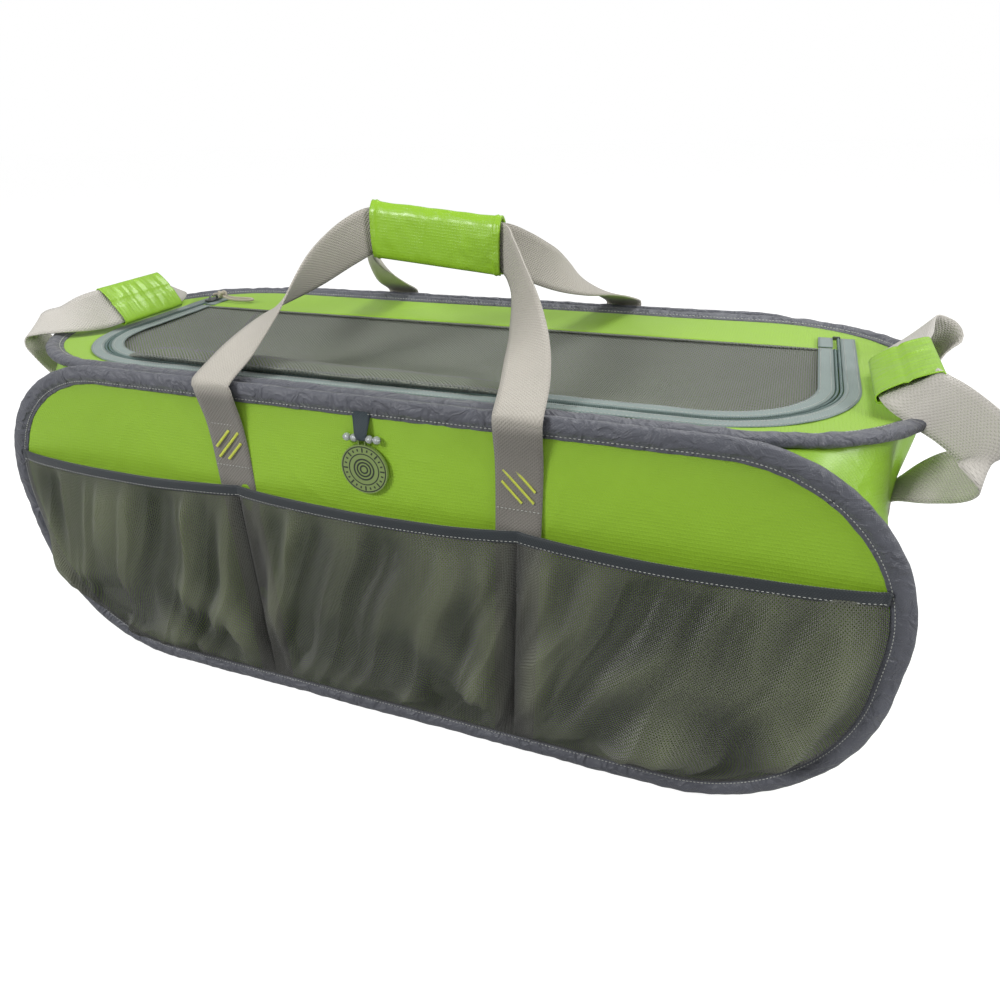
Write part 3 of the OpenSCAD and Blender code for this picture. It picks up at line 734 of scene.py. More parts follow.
def top_frame():
    """The lime sheet between the top hoop and the zip, as a ring of spokes from the lid's middle."""
    a, b, r = half_l - panel_inset, top_half_y - panel_inset, top_r - panel_inset
    open_grow = 6 * mm

    def inside_lid(point):
        return (-zip_front - open_grow < point.y < seam_y + 1.5 * mm
                and abs(point.x) < lid_half_width(point.y, open_grow))

    def inside_hoop(point):
        return abs(point.y) < b and abs(point.x) < half_width(point.y, a, b, r)

    def reach(test, way):
        low, high = 0.0, 0.6
        for _ in range(18):
            mid = (low + high) / 2
            low, high = (mid, high) if test(frame_centre + way * mid) else (low, mid)
        return low

    spokes = {}

    def spoke(s):
        if s not in spokes:
            angle = 2 * math.pi * s
            way = Vector((math.cos(angle) * 2.6, math.sin(angle))).normalized()
            spokes[s] = way, reach(inside_lid, way), reach(inside_hoop, way)
        return spokes[s]

    def place(s, t):
        way, near, far = spoke(round(s % 1.0, 6))
        flat = frame_centre + way * (near + (far - near) * t)
        rim = 4 * t * (1 - t)
        wave_z = 3.0 * mm * rim * noise_at(flat.x * 9, flat.y * 16, 2.2)
        return Vector((flat.x, flat.y, top_z + wave_z))

    return close_up(lay_uv_flat(cloth_grid(*frame_cells, (2.4, 0.09), place)))


top_cloth = as_object(top_frame(), "top_panel_cloth", matte_lime, "bag", ("top_panel",),
                      panel_t)

# %% [markdown]
# ## Mesh lid
# The lid is one sheet of knitted mesh. It sags between the zip and the seam at its back, it is
# pulled in small puckers where the zip turns the front corner, and it is see-through.

# %% Mesh lid
lid_sag = 11 * mm
lid_back_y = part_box("lid_mesh")[1].y


def lid_height(x, y):
    """Height of the lid's cloth over the flat of the top."""
    across = x / zip_x
    along = (y + zip_front) / (lid_back_y + zip_front)
    bowl = max(0.0, 1 - across ** 4) * math.sin(math.pi * min(1.0, max(0.0, along))) ** 0.8
    pull = noise_at(x * 5, y * 7, 4.4) * 0.30 + noise_at(x * 15 + y * 9, y * 8, 7.7) * 0.16
    corner = math.exp(-((x - 0.27) ** 2 + (y + 0.11) ** 2) / 0.006)
    pucker = 6 * mm * corner * noise_at(x * 60 - y * 26, y * 20, 1.2)
    return -lid_sag * bowl * (1 + pull) + pucker * bowl + 3 * mm * corner * bowl


def lid_place(s, t):
    """A point of the lid. Left of its middle the slack cloth rolls forward over the zip."""
    inset = 8 * mm
    low = -zip_front + inset
    y = low + (lid_back_y - low) * (1 - math.cos(math.radians(90 * t)))
    x = (2 * s - 1) * lid_half_width(y, -inset)
    point = Vector((x, y, top_z + 0.2 * mm + lid_height(x, y)))
    slack = ease(-0.32, -0.24, x) * (1 - ease(0.02, 0.2, x)) * (1 + 0.25 * noise_at(x * 22, 0.5, 2.6))
    point.y -= 21 * mm * slack * math.exp(-((t - 0.17) / 0.1) ** 2)
    point.z += 13 * mm * slack * math.exp(-((t - 0.24) / 0.16) ** 2) * ease(0.0, 0.12, t)
    return point


lid_span = (2 * zip_x - 16 * mm, lid_back_y + zip_front)
lid_bm = lay_uv_flat(cloth_grid(170, 70, lid_span, lid_place))
lid_cloth = as_object(lid_bm, "lid_mesh_cloth", lid_mesh, "lid", ("lid_mesh",))

# %% [markdown]
# ## Zip
# A coil zip is two woven tapes with a row of nylon loops on the edge of each. The tapes are thin
# ribbons that follow the U, and each loop of the coil is a small bead of thread, leaned across the
# line so that the two rows seem to lock.

# %% Zip tapes
tape_z = top_z + 1.35 * mm
tape_t = 0.8 * mm


def tape_strip(name, near, far, back, body, replaces):
    """A flat ribbon along the U between two distances from the coil line."""
    length, _ = zip_line(0, back)

    def place(s, t):
        grow = near + (far - near) * s
        total, at = zip_line(grow, back)
        flat, _ = at(t * total * 0.999999)
        ripple = 0.5 * mm * noise_at(flat.x * 40, flat.y * 40, near * 900)
        return Vector((flat.x, flat.y, tape_z + ripple))

    bm = cloth_grid(4, 420, (abs(far - near), length), place)
    bmesh.ops.reverse_faces(bm, faces=bm.faces)
    return as_object(face_out(bm), name, tape_teal, body, replaces, tape_t)


tape_strip("zip_tape_body_cloth", tape_near, tape_far, zip_tail_y, "bag", ("zip_tape_body",))
tape_strip("zip_tape_lid_cloth", -tape_far, -tape_near, lid_back_y, "lid", ("zip_tape_lid",))


# %% Zip tails
tail_gap = 3.4 * mm
tail_span = 36 * mm


def tail_tape(side):
    """The lid half of the tape, sewn down behind the hinge seam."""
    x0 = side * zip_x - side * tape_far
    x1 = side * zip_x - side * tape_near

    def place(s, t):
        return Vector((x0 + (x1 - x0) * s, seam_y + tail_gap + (zip_tail_y - seam_y - tail_gap) * t, tape_z))

    return face_out(cloth_grid(4, 14, (tape_far - tape_near, tail_span), place))


for side, end in ((-1, "left"), (1, "right")):
    as_object(tail_tape(side), f"zip_tail_{end}", tape_teal, "bag", (), tape_t)


# %% Zip coils
upwards = Vector((0, 0, 1))


def zip_steps(grow, back, step, z):
    """Even steps along the U: at each a point at height z, and the directions along and out of it."""
    total, at = zip_line(grow, back)
    for k in range(int(total / step)):
        flat, out = at((k + 0.5) * step)
        yield Vector((flat.x, flat.y, z)), Vector((-out.y, out.x, 0)), Vector((out.x, out.y, 0))


def coil_row(name, grow, back, body, replaces, lean):
    """One row of coil loops along the U."""
    spots = [(point, out + along * lean, upwards)
             for point, along, out in zip_steps(grow, back, 1.7 * mm, top_z + 1.0 * mm)]
    bm = bmesh.new()
    stitches(bm, spots, 3.4 * mm, 1.25 * mm, 2.6 * mm)
    return as_object(bm, name, coil_teal, body, replaces)


coil_row("zip_coil_body_loops", 1.7 * mm, zip_tail_y, "bag", ("zip_coil_body",), 0.35)
coil_row("zip_coil_lid_loops", -1.7 * mm, lid_back_y, "lid", ("zip_coil_lid",), -0.35)


# %% Zip stitch lines
def zip_seam(name, grow, back, body):
    """Two pale stitch lines along a tape."""
    bm = bmesh.new()
    for offset in grow:
        spots = [(point, along, upwards)
                 for point, along, _ in zip_steps(offset, back, 3.4 * mm, tape_z + 0.6 * mm)]
        stitches(bm, spots, 2.5 * mm, 0.6 * mm, 0.5 * mm)
    return as_object(bm, name, light_thread, body)


zip_seam("zip_stitches_body", (6.2 * mm, 14.4 * mm), zip_tail_y, "bag")
zip_seam("zip_stitches_lid", (-6.2 * mm, -14.4 * mm), lid_back_y, "lid")

# %% [markdown]
# ## Hinge seam of the lid
# The mesh has no hinge, only a sewn seam along its back. A narrow folded tape covers the cut edge
# of the mesh; the stitch line along it is not drawn.

# %% Hinge seam
def seam_place(s, t):
    x = (2 * t - 1) * (zip_x - tape_far - 1 * mm)
    y = lid_back_y - 6 * mm * s
    curl = 0.7 * mm * math.sin(math.pi * s)
    return Vector((x, y, top_z + 0.9 * mm + curl + 0.3 * mm * noise_at(x * 40, s, 3)))


seam_bm = face_out(cloth_grid(5, 260, (6 * mm, 2 * zip_x), seam_place))
as_object(seam_bm, "lid_seam_cloth", lid_mesh, "lid", ("lid_seam_tape",), 0.5 * mm)

# %% [markdown]
# ## Hoop bindings
# Each hoop's wire lies in a channel of folded tape. The tape is cut straight and sewn round a curve,
# so it puckers: small ridges run across it, closer together on the bends. A closed profile, thick
# over the wire and thin at the sewn edge, is swept round the hoop with those ridges on it.

# %% Binding profile
binding_seam = 0.80


def binding_profile(angle):
    """Inset from the outer edge and height from the tape's middle, for an angle round the tape."""
    inset = binding_w / 2 * (1 - math.cos(angle))
    share = inset / binding_w
    full = 1 - 0.62 * ease(0.52, 0.86, share) + 0.12 * ease(0.88, 1.0, share)
    height = binding_t / 2 * math.copysign(abs(math.sin(angle)) ** 0.62, math.sin(angle)) * full
    return inset, height


def binding(name, half_b, radius, stand, seed, replaces):
    """Puckered tape round one hoop; stand(a, b, h) puts a point of the flat hoop in place."""
    total, at = hoop(half_l, half_b, radius)

    def place(s, t):
        distance = t * total
        flat, out = at(distance)
        angle = 2 * math.pi * s
        inset, height = binding_profile(angle)
        turned = 2 * math.pi * t
        ring = Vector((math.cos(turned), math.sin(turned))) * total / (2 * math.pi)
        lean = height * 0.55
        ridge = noise_at(ring.x * 105 + lean * 90, ring.y * 105, seed + math.cos(angle) * 0.8)
        broad = noise_at(ring.x * 34, ring.y * 34, seed + 5 + math.sin(angle) * 0.9)
        wander = noise_at(ring.x * 9, ring.y * 9, seed + 9)
        swell = 1 + 0.20 * ridge + 0.16 * broad
        slide = 0.9 * mm * wander + 0.5 * mm * broad
        point = flat - out * (inset + (inset - binding_w / 2) * 0.06 * ridge) + out * slide * 0.6
        return stand(point.x, point.y, height * swell + 0.6 * mm * wander)

    bm = cloth_grid(22, int(total / 0.0031), (2 * (binding_w + binding_t), total), place)
    return as_object(close_up(bm), name, binding_grey, "bag", replaces)


def stand_front(a, b, h):
    return Vector((a, front_y - h, front_mid + b))


def stand_back(a, b, h):
    return Vector((a, -front_y + h, front_mid + b))


def lie_top(a, b, h):
    return Vector((a, b, top_z + h))


def lie_bottom(a, b, h):
    return Vector((a, b, binding_t / 2 + h + 0.3 * mm))


hoops = {"front": (front_mid, front_r, stand_front), "back": (front_mid, front_r, stand_back),
         "top": (top_half_y, top_r, lie_top), "bottom": (top_half_y, top_r, lie_bottom)}
for seed, (where, (half_b, radius, stand)) in enumerate(hoops.items()):
    binding(f"{where}_binding_tape", half_b, radius, stand, 3.1 * seed + 0.5, (f"{where}_hoop_binding",))


# %% [markdown]
# A stitch line holds each tape shut next to the wire, on both faces. Its stitches are single small
# beads, because a drawn line would vanish in a close view.

# %% Binding stitches
def binding_stitches(name, half_b, radius, stand):
    """Stitch lines on both faces of a hoop's tape."""
    total, at = hoop(half_l, half_b, radius)
    step = 3.6 * mm
    inset = binding_seam * binding_w
    bm = bmesh.new()
    for face in (-1, 1):
        height = face * binding_profile(math.acos(1 - 2 * binding_seam))[1]
        spots = []
        for k in range(int(total / step)):
            flat, out = at((k + 0.5) * step)
            here = flat - out * inset
            ahead = here + Vector((-out.y, out.x))
            lift = stand(here.x, here.y, height + face * mm) - stand(here.x, here.y, height)
            along = stand(ahead.x, ahead.y, height) - stand(here.x, here.y, height)
            spots.append((stand(here.x, here.y, height + face * 0.35 * mm), along, lift))
        stitches(bm, spots, 2.7 * mm, 0.8 * mm, 0.9 * mm)
    return as_object(bm, name, light_thread, "bag")


for where, (half_b, radius, stand) in hoops.items():
    binding_stitches(f"{where}_binding_stitches", half_b, radius, stand)

# %% [markdown]
# ## Pockets
# Three pockets of the same mesh stand off the front. Each is cut wider than its place and sewn down
# at its sides and foot, so it bulges low and gathers in slanting folds under the mouth.

# %% Pocket shape
pocket_back_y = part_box("pocket_middle")[1].y
pocket_low, pocket_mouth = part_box("pocket_middle")[0].z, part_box("pocket_edging")[0].z
pocket_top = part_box("pocket_edging")[1].z
pocket_depth = 27 * mm
mouth_share = 0.5
belly = 0.35
pocket_flat = (0.33, 0.25)


def stand_off(s, t):
    """How far a pocket stands off its back, for s from -1 to 1 across and t from 0 to 1 up."""
    bulge = math.sin(math.radians(90 * min(1.0, t / belly)))
    upper = 1 - (1 - mouth_share) * max(0.0, (t - belly) / (1 - belly)) ** 1.5
    return pocket_depth * max(0.0, 1 - s * s) ** (0.8 if t > 0.98 else 0.62) * bulge * upper


def pocket_edge_x(z):
    """Half length of the front panel inside its binding, at height z."""
    return half_width(z - front_mid, half_l - binding_w, front_mid - binding_w, front_r - binding_w)


def gathers(x, across, t, seed):
    """Height of the folds, from valley to ridge: they run from the mouth down to the right."""
    slant = x + 0.085 * (1 - t) ** 1.5 + 0.008 * noise_at(t * 4, x * 9, seed)
    fine = 0.30 - abs(noise_at(slant * 52, t, seed + 3))
    fold = 0.34 - abs(noise_at(slant * 19, t * 0.8, seed)) * 1.9
    broad = noise_at(slant * 10, t * 1.9, seed + 7)
    side = 1 - abs(across)
    pull = math.exp(-((side - 0.19) / 0.09) ** 2) * (0.8 + 0.6 * noise_at(across, t * 3, seed + 5))
    sway = 0.5 * noise_at(across * 2.4, t, seed + 9)
    drape = math.sin(2 * math.pi * (t * 1.9 + 0.8 * across * across + sway))
    low = math.exp(-((t - 0.28) / 0.2) ** 2)
    return 19 * fold * (0.55 + 0.45 * t) + 7 * fine + 10 * broad + 13 * pull + 10 * drape * low


def pocket(name, side, seed):
    """One pocket sheet; side is -1, 0 or 1. Its belly hangs a little over its own foot."""

    def flat(s, t):
        z = pocket_low + t * (pocket_mouth + 3 * mm - pocket_low)
        near, far = (-strap_x, strap_x) if side == 0 else (strap_x, pocket_edge_x(z))
        x = near + (far - near) * s
        if side < 0:
            x = -near + (near - far) * (1 - s)
        across = 2 * s - 1
        pinned = max(0.0, 1 - across ** 10) * ease(0, 0.1, t) * (1 - 0.85 * ease(0.88, 1.0, t))
        return x, z, across, pinned, gathers(x, across, t, seed)

    def place(s, t):
        x, z, across, pinned, high = flat(s, t)
        out = stand_off(across, t) + max(-13.0, high) * mm * pinned
        hang = 15 * mm * math.exp(-((t - 0.27) / 0.1) ** 2) * (0.7 + 0.9 * noise_at(x * 9, 2.2, seed))
        return Vector((x, pocket_back_y - 0.6 * mm - max(0.0, out), z - hang * pinned * (1 - across ** 4)))

    bm = cloth_grid(200, 110, pocket_flat, place)
    # The second UV map holds painted shade and highlight: darker in the fold valleys, at the sewn sides and
    # towards the foot, lighter on the ridges.
    own, folds = bm.loops.layers.uv.active, bm.loops.layers.uv.new("Folds")
    for face in bm.faces:
        for loop in face.loops:
            s, t = loop[own].uv.x / pocket_flat[0], loop[own].uv.y / pocket_flat[1]
            _, _, across, pinned, high = flat(s, t)
            edge = ease(0.0, 0.09, 1 - abs(across)) * ease(0.0, 0.2, t)
            shade = edge * (0.30 + 0.055 * high * pinned) * (0.35 + 0.65 * ease(0.05, 0.6, t))
            loop[folds].uv = (min(1.0, max(0.0, shade)), 0.0)
    made = as_object(bm, name + "_cloth", pocket_mesh, "bag", (name,))
    return made


pocket("pocket_left", -1, 2.9)
pocket("pocket_middle", 0, 6.4)
pocket("pocket_right", 1, 12.7)


# %% [markdown]
# The mouths of all three pockets are bound with one slate tape, folded over the mesh. It is a flat
# rolled profile that follows the stand-off of the mouths, with a pale stitch line near its foot.

# %% Pocket edging
def mouth_point(x):
    """Front of the mouth line at x, and the direction that it faces."""
    def off(x):
        end = pocket_edge_x(pocket_top) - 1 * mm
        if abs(x) <= strap_x:
            s = x / strap_x
        else:
            s = 2 * (abs(x) - strap_x) / (end - strap_x) - 1
        return pocket_back_y - stand_off(max(-1.0, min(1.0, s)), 1.0)
    slope = (off(x + 1 * mm) - off(x - 1 * mm)) / (2 * mm)
    return off(x), Vector((slope, -1, 0)).normalized()


edging_mid = (pocket_mouth + pocket_top) / 2
edging_half = (pocket_top - pocket_mouth) / 2 + 0.4 * mm
edging_end = pocket_edge_x(edging_mid) + 2 * mm


def edging_droop(x):
    """How far the edging waves up or down at x."""
    return 0.8 * mm * noise_at(x * 14, 0.3, 5.5)


def edging_place(s, t):
    x = (2 * t - 1) * edging_end
    y, out = mouth_point(x)
    angle = 2 * math.pi * s
    z = edging_mid + edging_half * math.sin(angle)
    deep = 1.5 * mm * math.copysign(abs(math.cos(angle)) ** 0.5, math.cos(angle))
    return Vector((x, y, z + edging_droop(x))) + out * (1.0 * mm + deep)


edging_bm = close_up(cloth_grid(14, 380, (0.024, 2 * edging_end), edging_place), caps=True)
as_object(edging_bm, "pocket_edging_tape", edging_slate, "bag", ("pocket_edging",))
edging_spots = []
edging_step = 3.6 * mm
for k in range(int(2 * edging_end / edging_step)):
    stitch_x = -edging_end + (k + 0.5) * edging_step
    stitch_y, stitch_out = mouth_point(stitch_x)
    stitch_z = pocket_mouth + 1.8 * mm + edging_droop(stitch_x)
    spot = Vector((stitch_x, stitch_y, stitch_z)) + stitch_out * 2.35 * mm
    edging_spots.append((spot, stitch_out.cross(upwards), stitch_out))
edging_stitch_bm = bmesh.new()
stitches(edging_stitch_bm, edging_spots, 2.6 * mm, 0.7 * mm, 0.7 * mm)
as_object(edging_stitch_bm, "pocket_edging_stitches", light_thread, "bag")

# %% [markdown]
# ## Carry straps
# Each carry strap is one length of webbing. It is sewn down the panel under the pockets, steps out
# over the binding, turns at the hoop and climbs to the grip, twisting a quarter turn on the way.
# Such a ribbon is a grid that follows a smooth line, with the direction of its width blended from
# one end to the other.

# %% Ribbon helper
def ribbon(rows, width, cells=(8, 180), cup=0.0, ripple=0.0, seed=0.0):
    """Webbing along rows of (point, direction across): a grid ready to be thickened."""
    raw, pace, length = through([p for p, _ in rows])
    ways, _, _ = through([w for _, w in rows])

    def place(s, t):
        u = pace(t)
        here, across = raw(u), ways(u).normalized()
        ahead = (raw(min(1, u + 0.004)) - raw(max(0, u - 0.004))).normalized()
        across = (across - ahead * across.dot(ahead)).normalized()
        normal = across.cross(ahead)
        side = 2 * s - 1
        lift = cup * (1 - side * side) + ripple * noise_at(t * length * 22, side * 0.7, seed)
        return here + across * side * width / 2 + normal * lift

    return cloth_grid(*cells, (width, length), place)


# %% Carry straps
hinge_z = 355.5 * mm
grip_lean = 0.09
grip_z = (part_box("wrap_front")[0].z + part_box("wrap_front")[1].z) / 2
strap_y = (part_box("front_right_strap")[1].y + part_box("front_right_strap")[0].y) / 2
strap_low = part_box("front_right_strap")[0].z
panel_strap_y = front_low.y + binding_t / 2 - 1.8 * mm
top_x = 71 * mm
start_y, start_z = -0.1960, 0.3575


def carry_strap(name, side_x, side_y, grip_y, replaces):
    """One strap from the foot of the panel to the middle of the grip."""
    across = Vector((side_x, 0, 0))
    grip_across = Vector((0, 0, side_x * side_y))

    def point(x, y, z):
        lean = grip_lean * side_x * x * ease(hinge_z, grip_z, z)
        return Vector((side_x * x, y * side_y, z - lean))

    foot = [(point(strap_x, panel_strap_y, z), across)
            for z in (strap_low, 0.09, 0.16, 0.23, 0.268, 0.296)]
    over = [(point(strap_x, y, z), across)
            for y, z in ((-0.1915, 0.318), (-0.1955, 0.335), (-0.1985, 0.349), (start_y, start_z))]
    grip = grip_y * side_y
    climb = []
    for share in (0.16, 0.34, 0.54, 0.74, 0.9):
        bow = math.sin(math.pi * share)
        x = strap_x + (top_x - strap_x) * (0.25 * share + 0.75 * share ** 1.7)
        y = start_y + (grip - start_y) * share ** 0.94
        z = start_z + (grip_z - start_z) * share ** 1.08 + 3 * mm * bow
        turn = ease(0.05, 0.98, share) * math.pi / 2
        climb.append((point(x, y, z), across * math.cos(turn) + grip_across * math.sin(turn)))
    held = [(point(x, grip, grip_z), grip_across) for x in (0.066, 0.045, 0.02, 0.0005)]
    bm = ribbon(foot + over + climb + held, web_w, (8, 240), 0.6 * mm, 0.7 * mm, 3 * side_x + side_y)
    if side_x * side_y > 0:
        bmesh.ops.reverse_faces(bm, faces=bm.faces)
    made = as_object(bm, name, webbing, None, replaces, web_t * 0.8)
    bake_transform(made)
    return made


carry_strap("front_left_carry_strap", -1, 1, -15 * mm, ("front_left_strap",))
carry_strap("front_right_carry_strap", 1, 1, -15 * mm,
            ("front_right_strap", "front_handle"))
carry_strap("back_left_carry_strap", -1, -1, -10 * mm, ("back_left_strap",))
carry_strap("back_right_carry_strap", 1, -1, -10 * mm,
            ("back_right_strap", "back_handle"))


# %% [markdown]
# ## Bar tacks and box stitches
# A bar tack is a zigzag sewn so tightly that it stands up as a bar. Each one here is a row of small
# threads laid across the bar. Three lean together in each strap's box, between two stitch lines.

# %% Bar tacks
tack_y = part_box("strap_bar_tacks")[0].y
tack_z = (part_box("strap_bar_tacks")[0].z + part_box("strap_bar_tacks")[1].z) / 2
tack_bm = bmesh.new()
box_bm = bmesh.new()
for side_x in (-1, 1):
    for side_y in (-1, 1):
        out = Vector((0, -side_y, 0))
        face_y = -side_y * abs(tack_y)
        for k in (-1, 0, 1):
            middle = Vector((side_x * (strap_x + k * 5.6 * mm), face_y, tack_z + k * 5.6 * mm))
            lean = Vector((side_x, 0, -1)).normalized()
            long = (38 if k == 0 else 25) * mm
            count = int(long / (1.1 * mm))
            spots = [(middle + lean * long * ((i + 0.5) / count - 0.5), lean.cross(out) + lean * 0.25, out)
                     for i in range(count)]
            stitches(tack_bm, spots, 3.2 * mm, 1.3 * mm, 1.5 * mm)
        for edge_z in (tack_z - 21 * mm, tack_z + 20 * mm):
            spots = [(Vector((side_x * strap_x + (i - 5) * 3.5 * mm, face_y + side_y * 0.2 * mm, edge_z)),
                      Vector((1, 0, 0)), out) for i in range(11)]
            stitches(box_bm, spots, 2.6 * mm, 0.7 * mm, 0.7 * mm)
as_object(tack_bm, "strap_bar_tack_threads", lime_thread, "bag", ("strap_bar_tacks",))
as_object(box_bm, "strap_box_stitches", light_thread, "bag")

# %% [markdown]
# ## Grip wrap
# The two carry handles are held together by a padded wrap of glossy lime cloth. It opens along its
# length, so it is two halves: the front one folds over the top and covers the back one's edge. Each
# half is a bent sheet with foam in it, stitched 5 mm in from its ends.

# %% Grip wrap
wrap_low, wrap_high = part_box("wrap_front")
wrap_half = wrap_high.x


def wrap(name, outline, body, seed, replaces):
    """A padded half: a bent line across, carried along the grip, fat in its middle."""
    raw, pace, girth = through([(0, y, z) for y, z in outline])

    def place(s, t):
        u = pace(s)
        here = raw(u)
        ahead = (raw(min(1, u + 0.02)) - raw(max(0, u - 0.02))).normalized()
        normal = Vector((1, 0, 0)).cross(ahead)
        along = 2 * t - 1
        x = wrap_half * along
        seam = math.exp(-((abs(along) - 0.93) / 0.018) ** 2)
        plump = (1 - along ** 6) * math.sin(math.pi * min(1, max(0, s))) ** 0.4
        crease = noise_at(x * 95 + s * 2, s * 3.2, seed) * 0.8 + noise_at(x * 34, s * 2, seed + 2) * 1.1
        lift = mm * (1.8 * plump + 0.75 * crease * plump - 0.9 * seam)
        return here + Vector((x, 0, -grip_lean * x)) - normal * lift

    bm = face_out(cloth_grid(44, 90, (girth, 2 * wrap_half), place))
    made = as_object(bm, name, gloss_lime, body, replaces, 2.6 * mm)
    return made


wrap_y0, wrap_y1 = wrap_low.y + 1.5 * mm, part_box("wrap_back")[1].y - 1.5 * mm
z0, z1 = wrap_low.z + 2 * mm, wrap_high.z - 2 * mm
wrap("wrap_front_cloth", [(-0.0150, z0 + 1 * mm), (wrap_y0 + 0.002, z0 + 2 * mm), (wrap_y0, z0 + 9 * mm),
                          (wrap_y0 - 0.001, (z0 + z1) / 2), (wrap_y0, z1 - 7 * mm),
                          (wrap_y0 + 0.004, z1 - 0.5 * mm), (-0.0125, z1 + 1.8 * mm),
                          (wrap_y1 - 0.003, z1 + 0.5 * mm), (wrap_y1 + 0.0015, z1 - 4 * mm)],
     "front_carry_handle", 1.9, ("wrap_front",))
wrap("wrap_back_cloth", [(-0.0098, z1 - 5 * mm), (wrap_y1 - 0.004, z1 - 5.5 * mm),
                         (wrap_y1 - 0.0005, z1 - 12 * mm), (wrap_y1 + 0.001, (z0 + z1) / 2),
                         (wrap_y1, z0 + 8 * mm), (wrap_y1 - 0.003, z0 + 2 * mm), (-0.0100, z0 + 1 * mm)],
     "back_carry_handle", 6.1, ("wrap_back",))

# %% Closing strips
for strip_name, strip_body in (("wrap_hook_strips", "front_carry_handle"),
                               ("wrap_loop_strips", "back_carry_handle")):
    strip_low, strip_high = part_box(strip_name)
    strip_bm = bmesh.new()
    for strip_z in (strip_low.z + 5 * mm, strip_high.z - 5 * mm):
        strip_mid = Vector((0, (strip_low.y + strip_high.y) / 2, strip_z))
        strip_size = (strip_high.x - strip_low.x, strip_high.y - strip_low.y, 4 * mm, 1)
        bmesh.ops.create_cube(strip_bm, size=1,
                              matrix=Matrix.Translation(strip_mid) @ Matrix.Diagonal(strip_size))
    for strip_vert in strip_bm.verts:
        strip_vert.co.z -= grip_lean * strip_vert.co.x
    as_object(strip_bm, strip_name + "_tape", hook_strip, strip_body, (strip_name,))

# %% [markdown]
# ## End handles
# Each end has a loop of webbing that comes out of the end panel, turns over the hoop and lies on
# the top with a glossy sleeve round its middle. The loop is one ribbon through listed points,
# mirrored for its second leg. The left loop lies close to the hoop, and the right one has slid
# forward, so that its front leg swings out on edge.

# %% End handle loops
def sleeve_axes(lie):
    """Middle, width and normal of a grip that lies at (x, y), its outer edge raised by some degrees."""
    x, y, tilt = lie
    turn = math.radians(tilt)
    return (Vector((x, y, 0.3650 + 0.014 * math.sin(turn))),
            Vector((math.cos(turn), 0, math.sin(turn))), Vector((-math.sin(turn), 0, math.cos(turn))))


def leg_rows(side_y, splay, lie):
    """Rows from the end panel out over the hoop to the end of the sleeve. With splay 0 the leg lies
    close over the hoop, with splay 1 it swings out on edge in a wide bend."""
    middle, wide, _ = sleeve_axes(lie)
    close = [((0.443, 0.092, 0.316), (0.05, -1.00, 0.10)), ((0.454, 0.099, 0.337), (0.10, -0.95, 0.15)),
             ((0.459, 0.102, 0.349), (0.18, -0.90, 0.20)), ((0.455, 0.103, 0.3605), (0.30, -0.82, 0.28)),
             ((0.442, 0.099, 0.3655), (0.46, -0.68, 0.36)), ((0.422, 0.088, 0.3680), (0.62, -0.45, 0.45))]
    swung = [((0.4440, 0.099, 0.306), (-0.10, -0.75, 0.6)), ((0.4560, 0.120, 0.319), (0.05, -0.45, 0.85)),
             ((0.4620, 0.136, 0.331), (0.18, -0.15, 0.95)), ((0.4630, 0.144, 0.342), (0.26, 0.05, 0.92)),
             ((0.4560, 0.140, 0.3520), (0.36, 0.12, 0.88)), ((0.4400, 0.120, 0.360), (0.52, 0.18, 0.80))]

    def row(place, across):
        return tuple(Vector((x, side_y * y, z)) for x, y, z in (place, across))

    rows = []
    for z in (0.258, 0.274, 0.289):
        x = end_sheet(tab_y / end_half_y, (z - front_mid) / end_half_z, 0) + 2.2 * mm
        rows.append(row((x, tab_y, z), (0.12, -1, 0)))
    for near, far in zip(close, swung):
        rows.append(row(*([a + (b - a) * splay for a, b in zip(*pair)] for pair in zip(near, far))))
    end = middle + Vector((0, side_y * 0.046, 0))
    inside = middle + Vector((0, side_y * 0.025, 0))
    return rows + [(end * 0.6 + rows[-1][0] * 0.4, wide), (end, wide), (inside, wide)]


def end_handle(name, mirror, replaces, splay, lie):
    """The whole loop: front leg, grip and back leg."""
    middle, wide, _ = sleeve_axes(lie)
    rows = leg_rows(-1, splay, lie) + [(middle, wide)] + leg_rows(1, splay * 0.6, lie)[::-1]
    rows = [(Vector((p.x * mirror, p.y, p.z)), Vector((w.x * mirror, w.y, w.z))) for p, w in rows]
    bm = face_out(ribbon(rows, web_w, (8, 220), 0.0, 0.6 * mm, 2.0 + mirror))
    made = as_object(bm, name, lit_webbing, None, replaces, web_t * 0.8)
    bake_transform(made)
    return made


right_lie, left_lie = (0.409, -0.050, 30), (0.383, -0.008, 50)
end_handle("right_end_handle_loop", 1,
           ("right_handle_webbing", "right_handle_tabs"), 1.0, right_lie)
end_handle("left_end_handle_loop", -1,
           ("left_handle_webbing", "left_handle_tabs"), 0.0, left_lie)


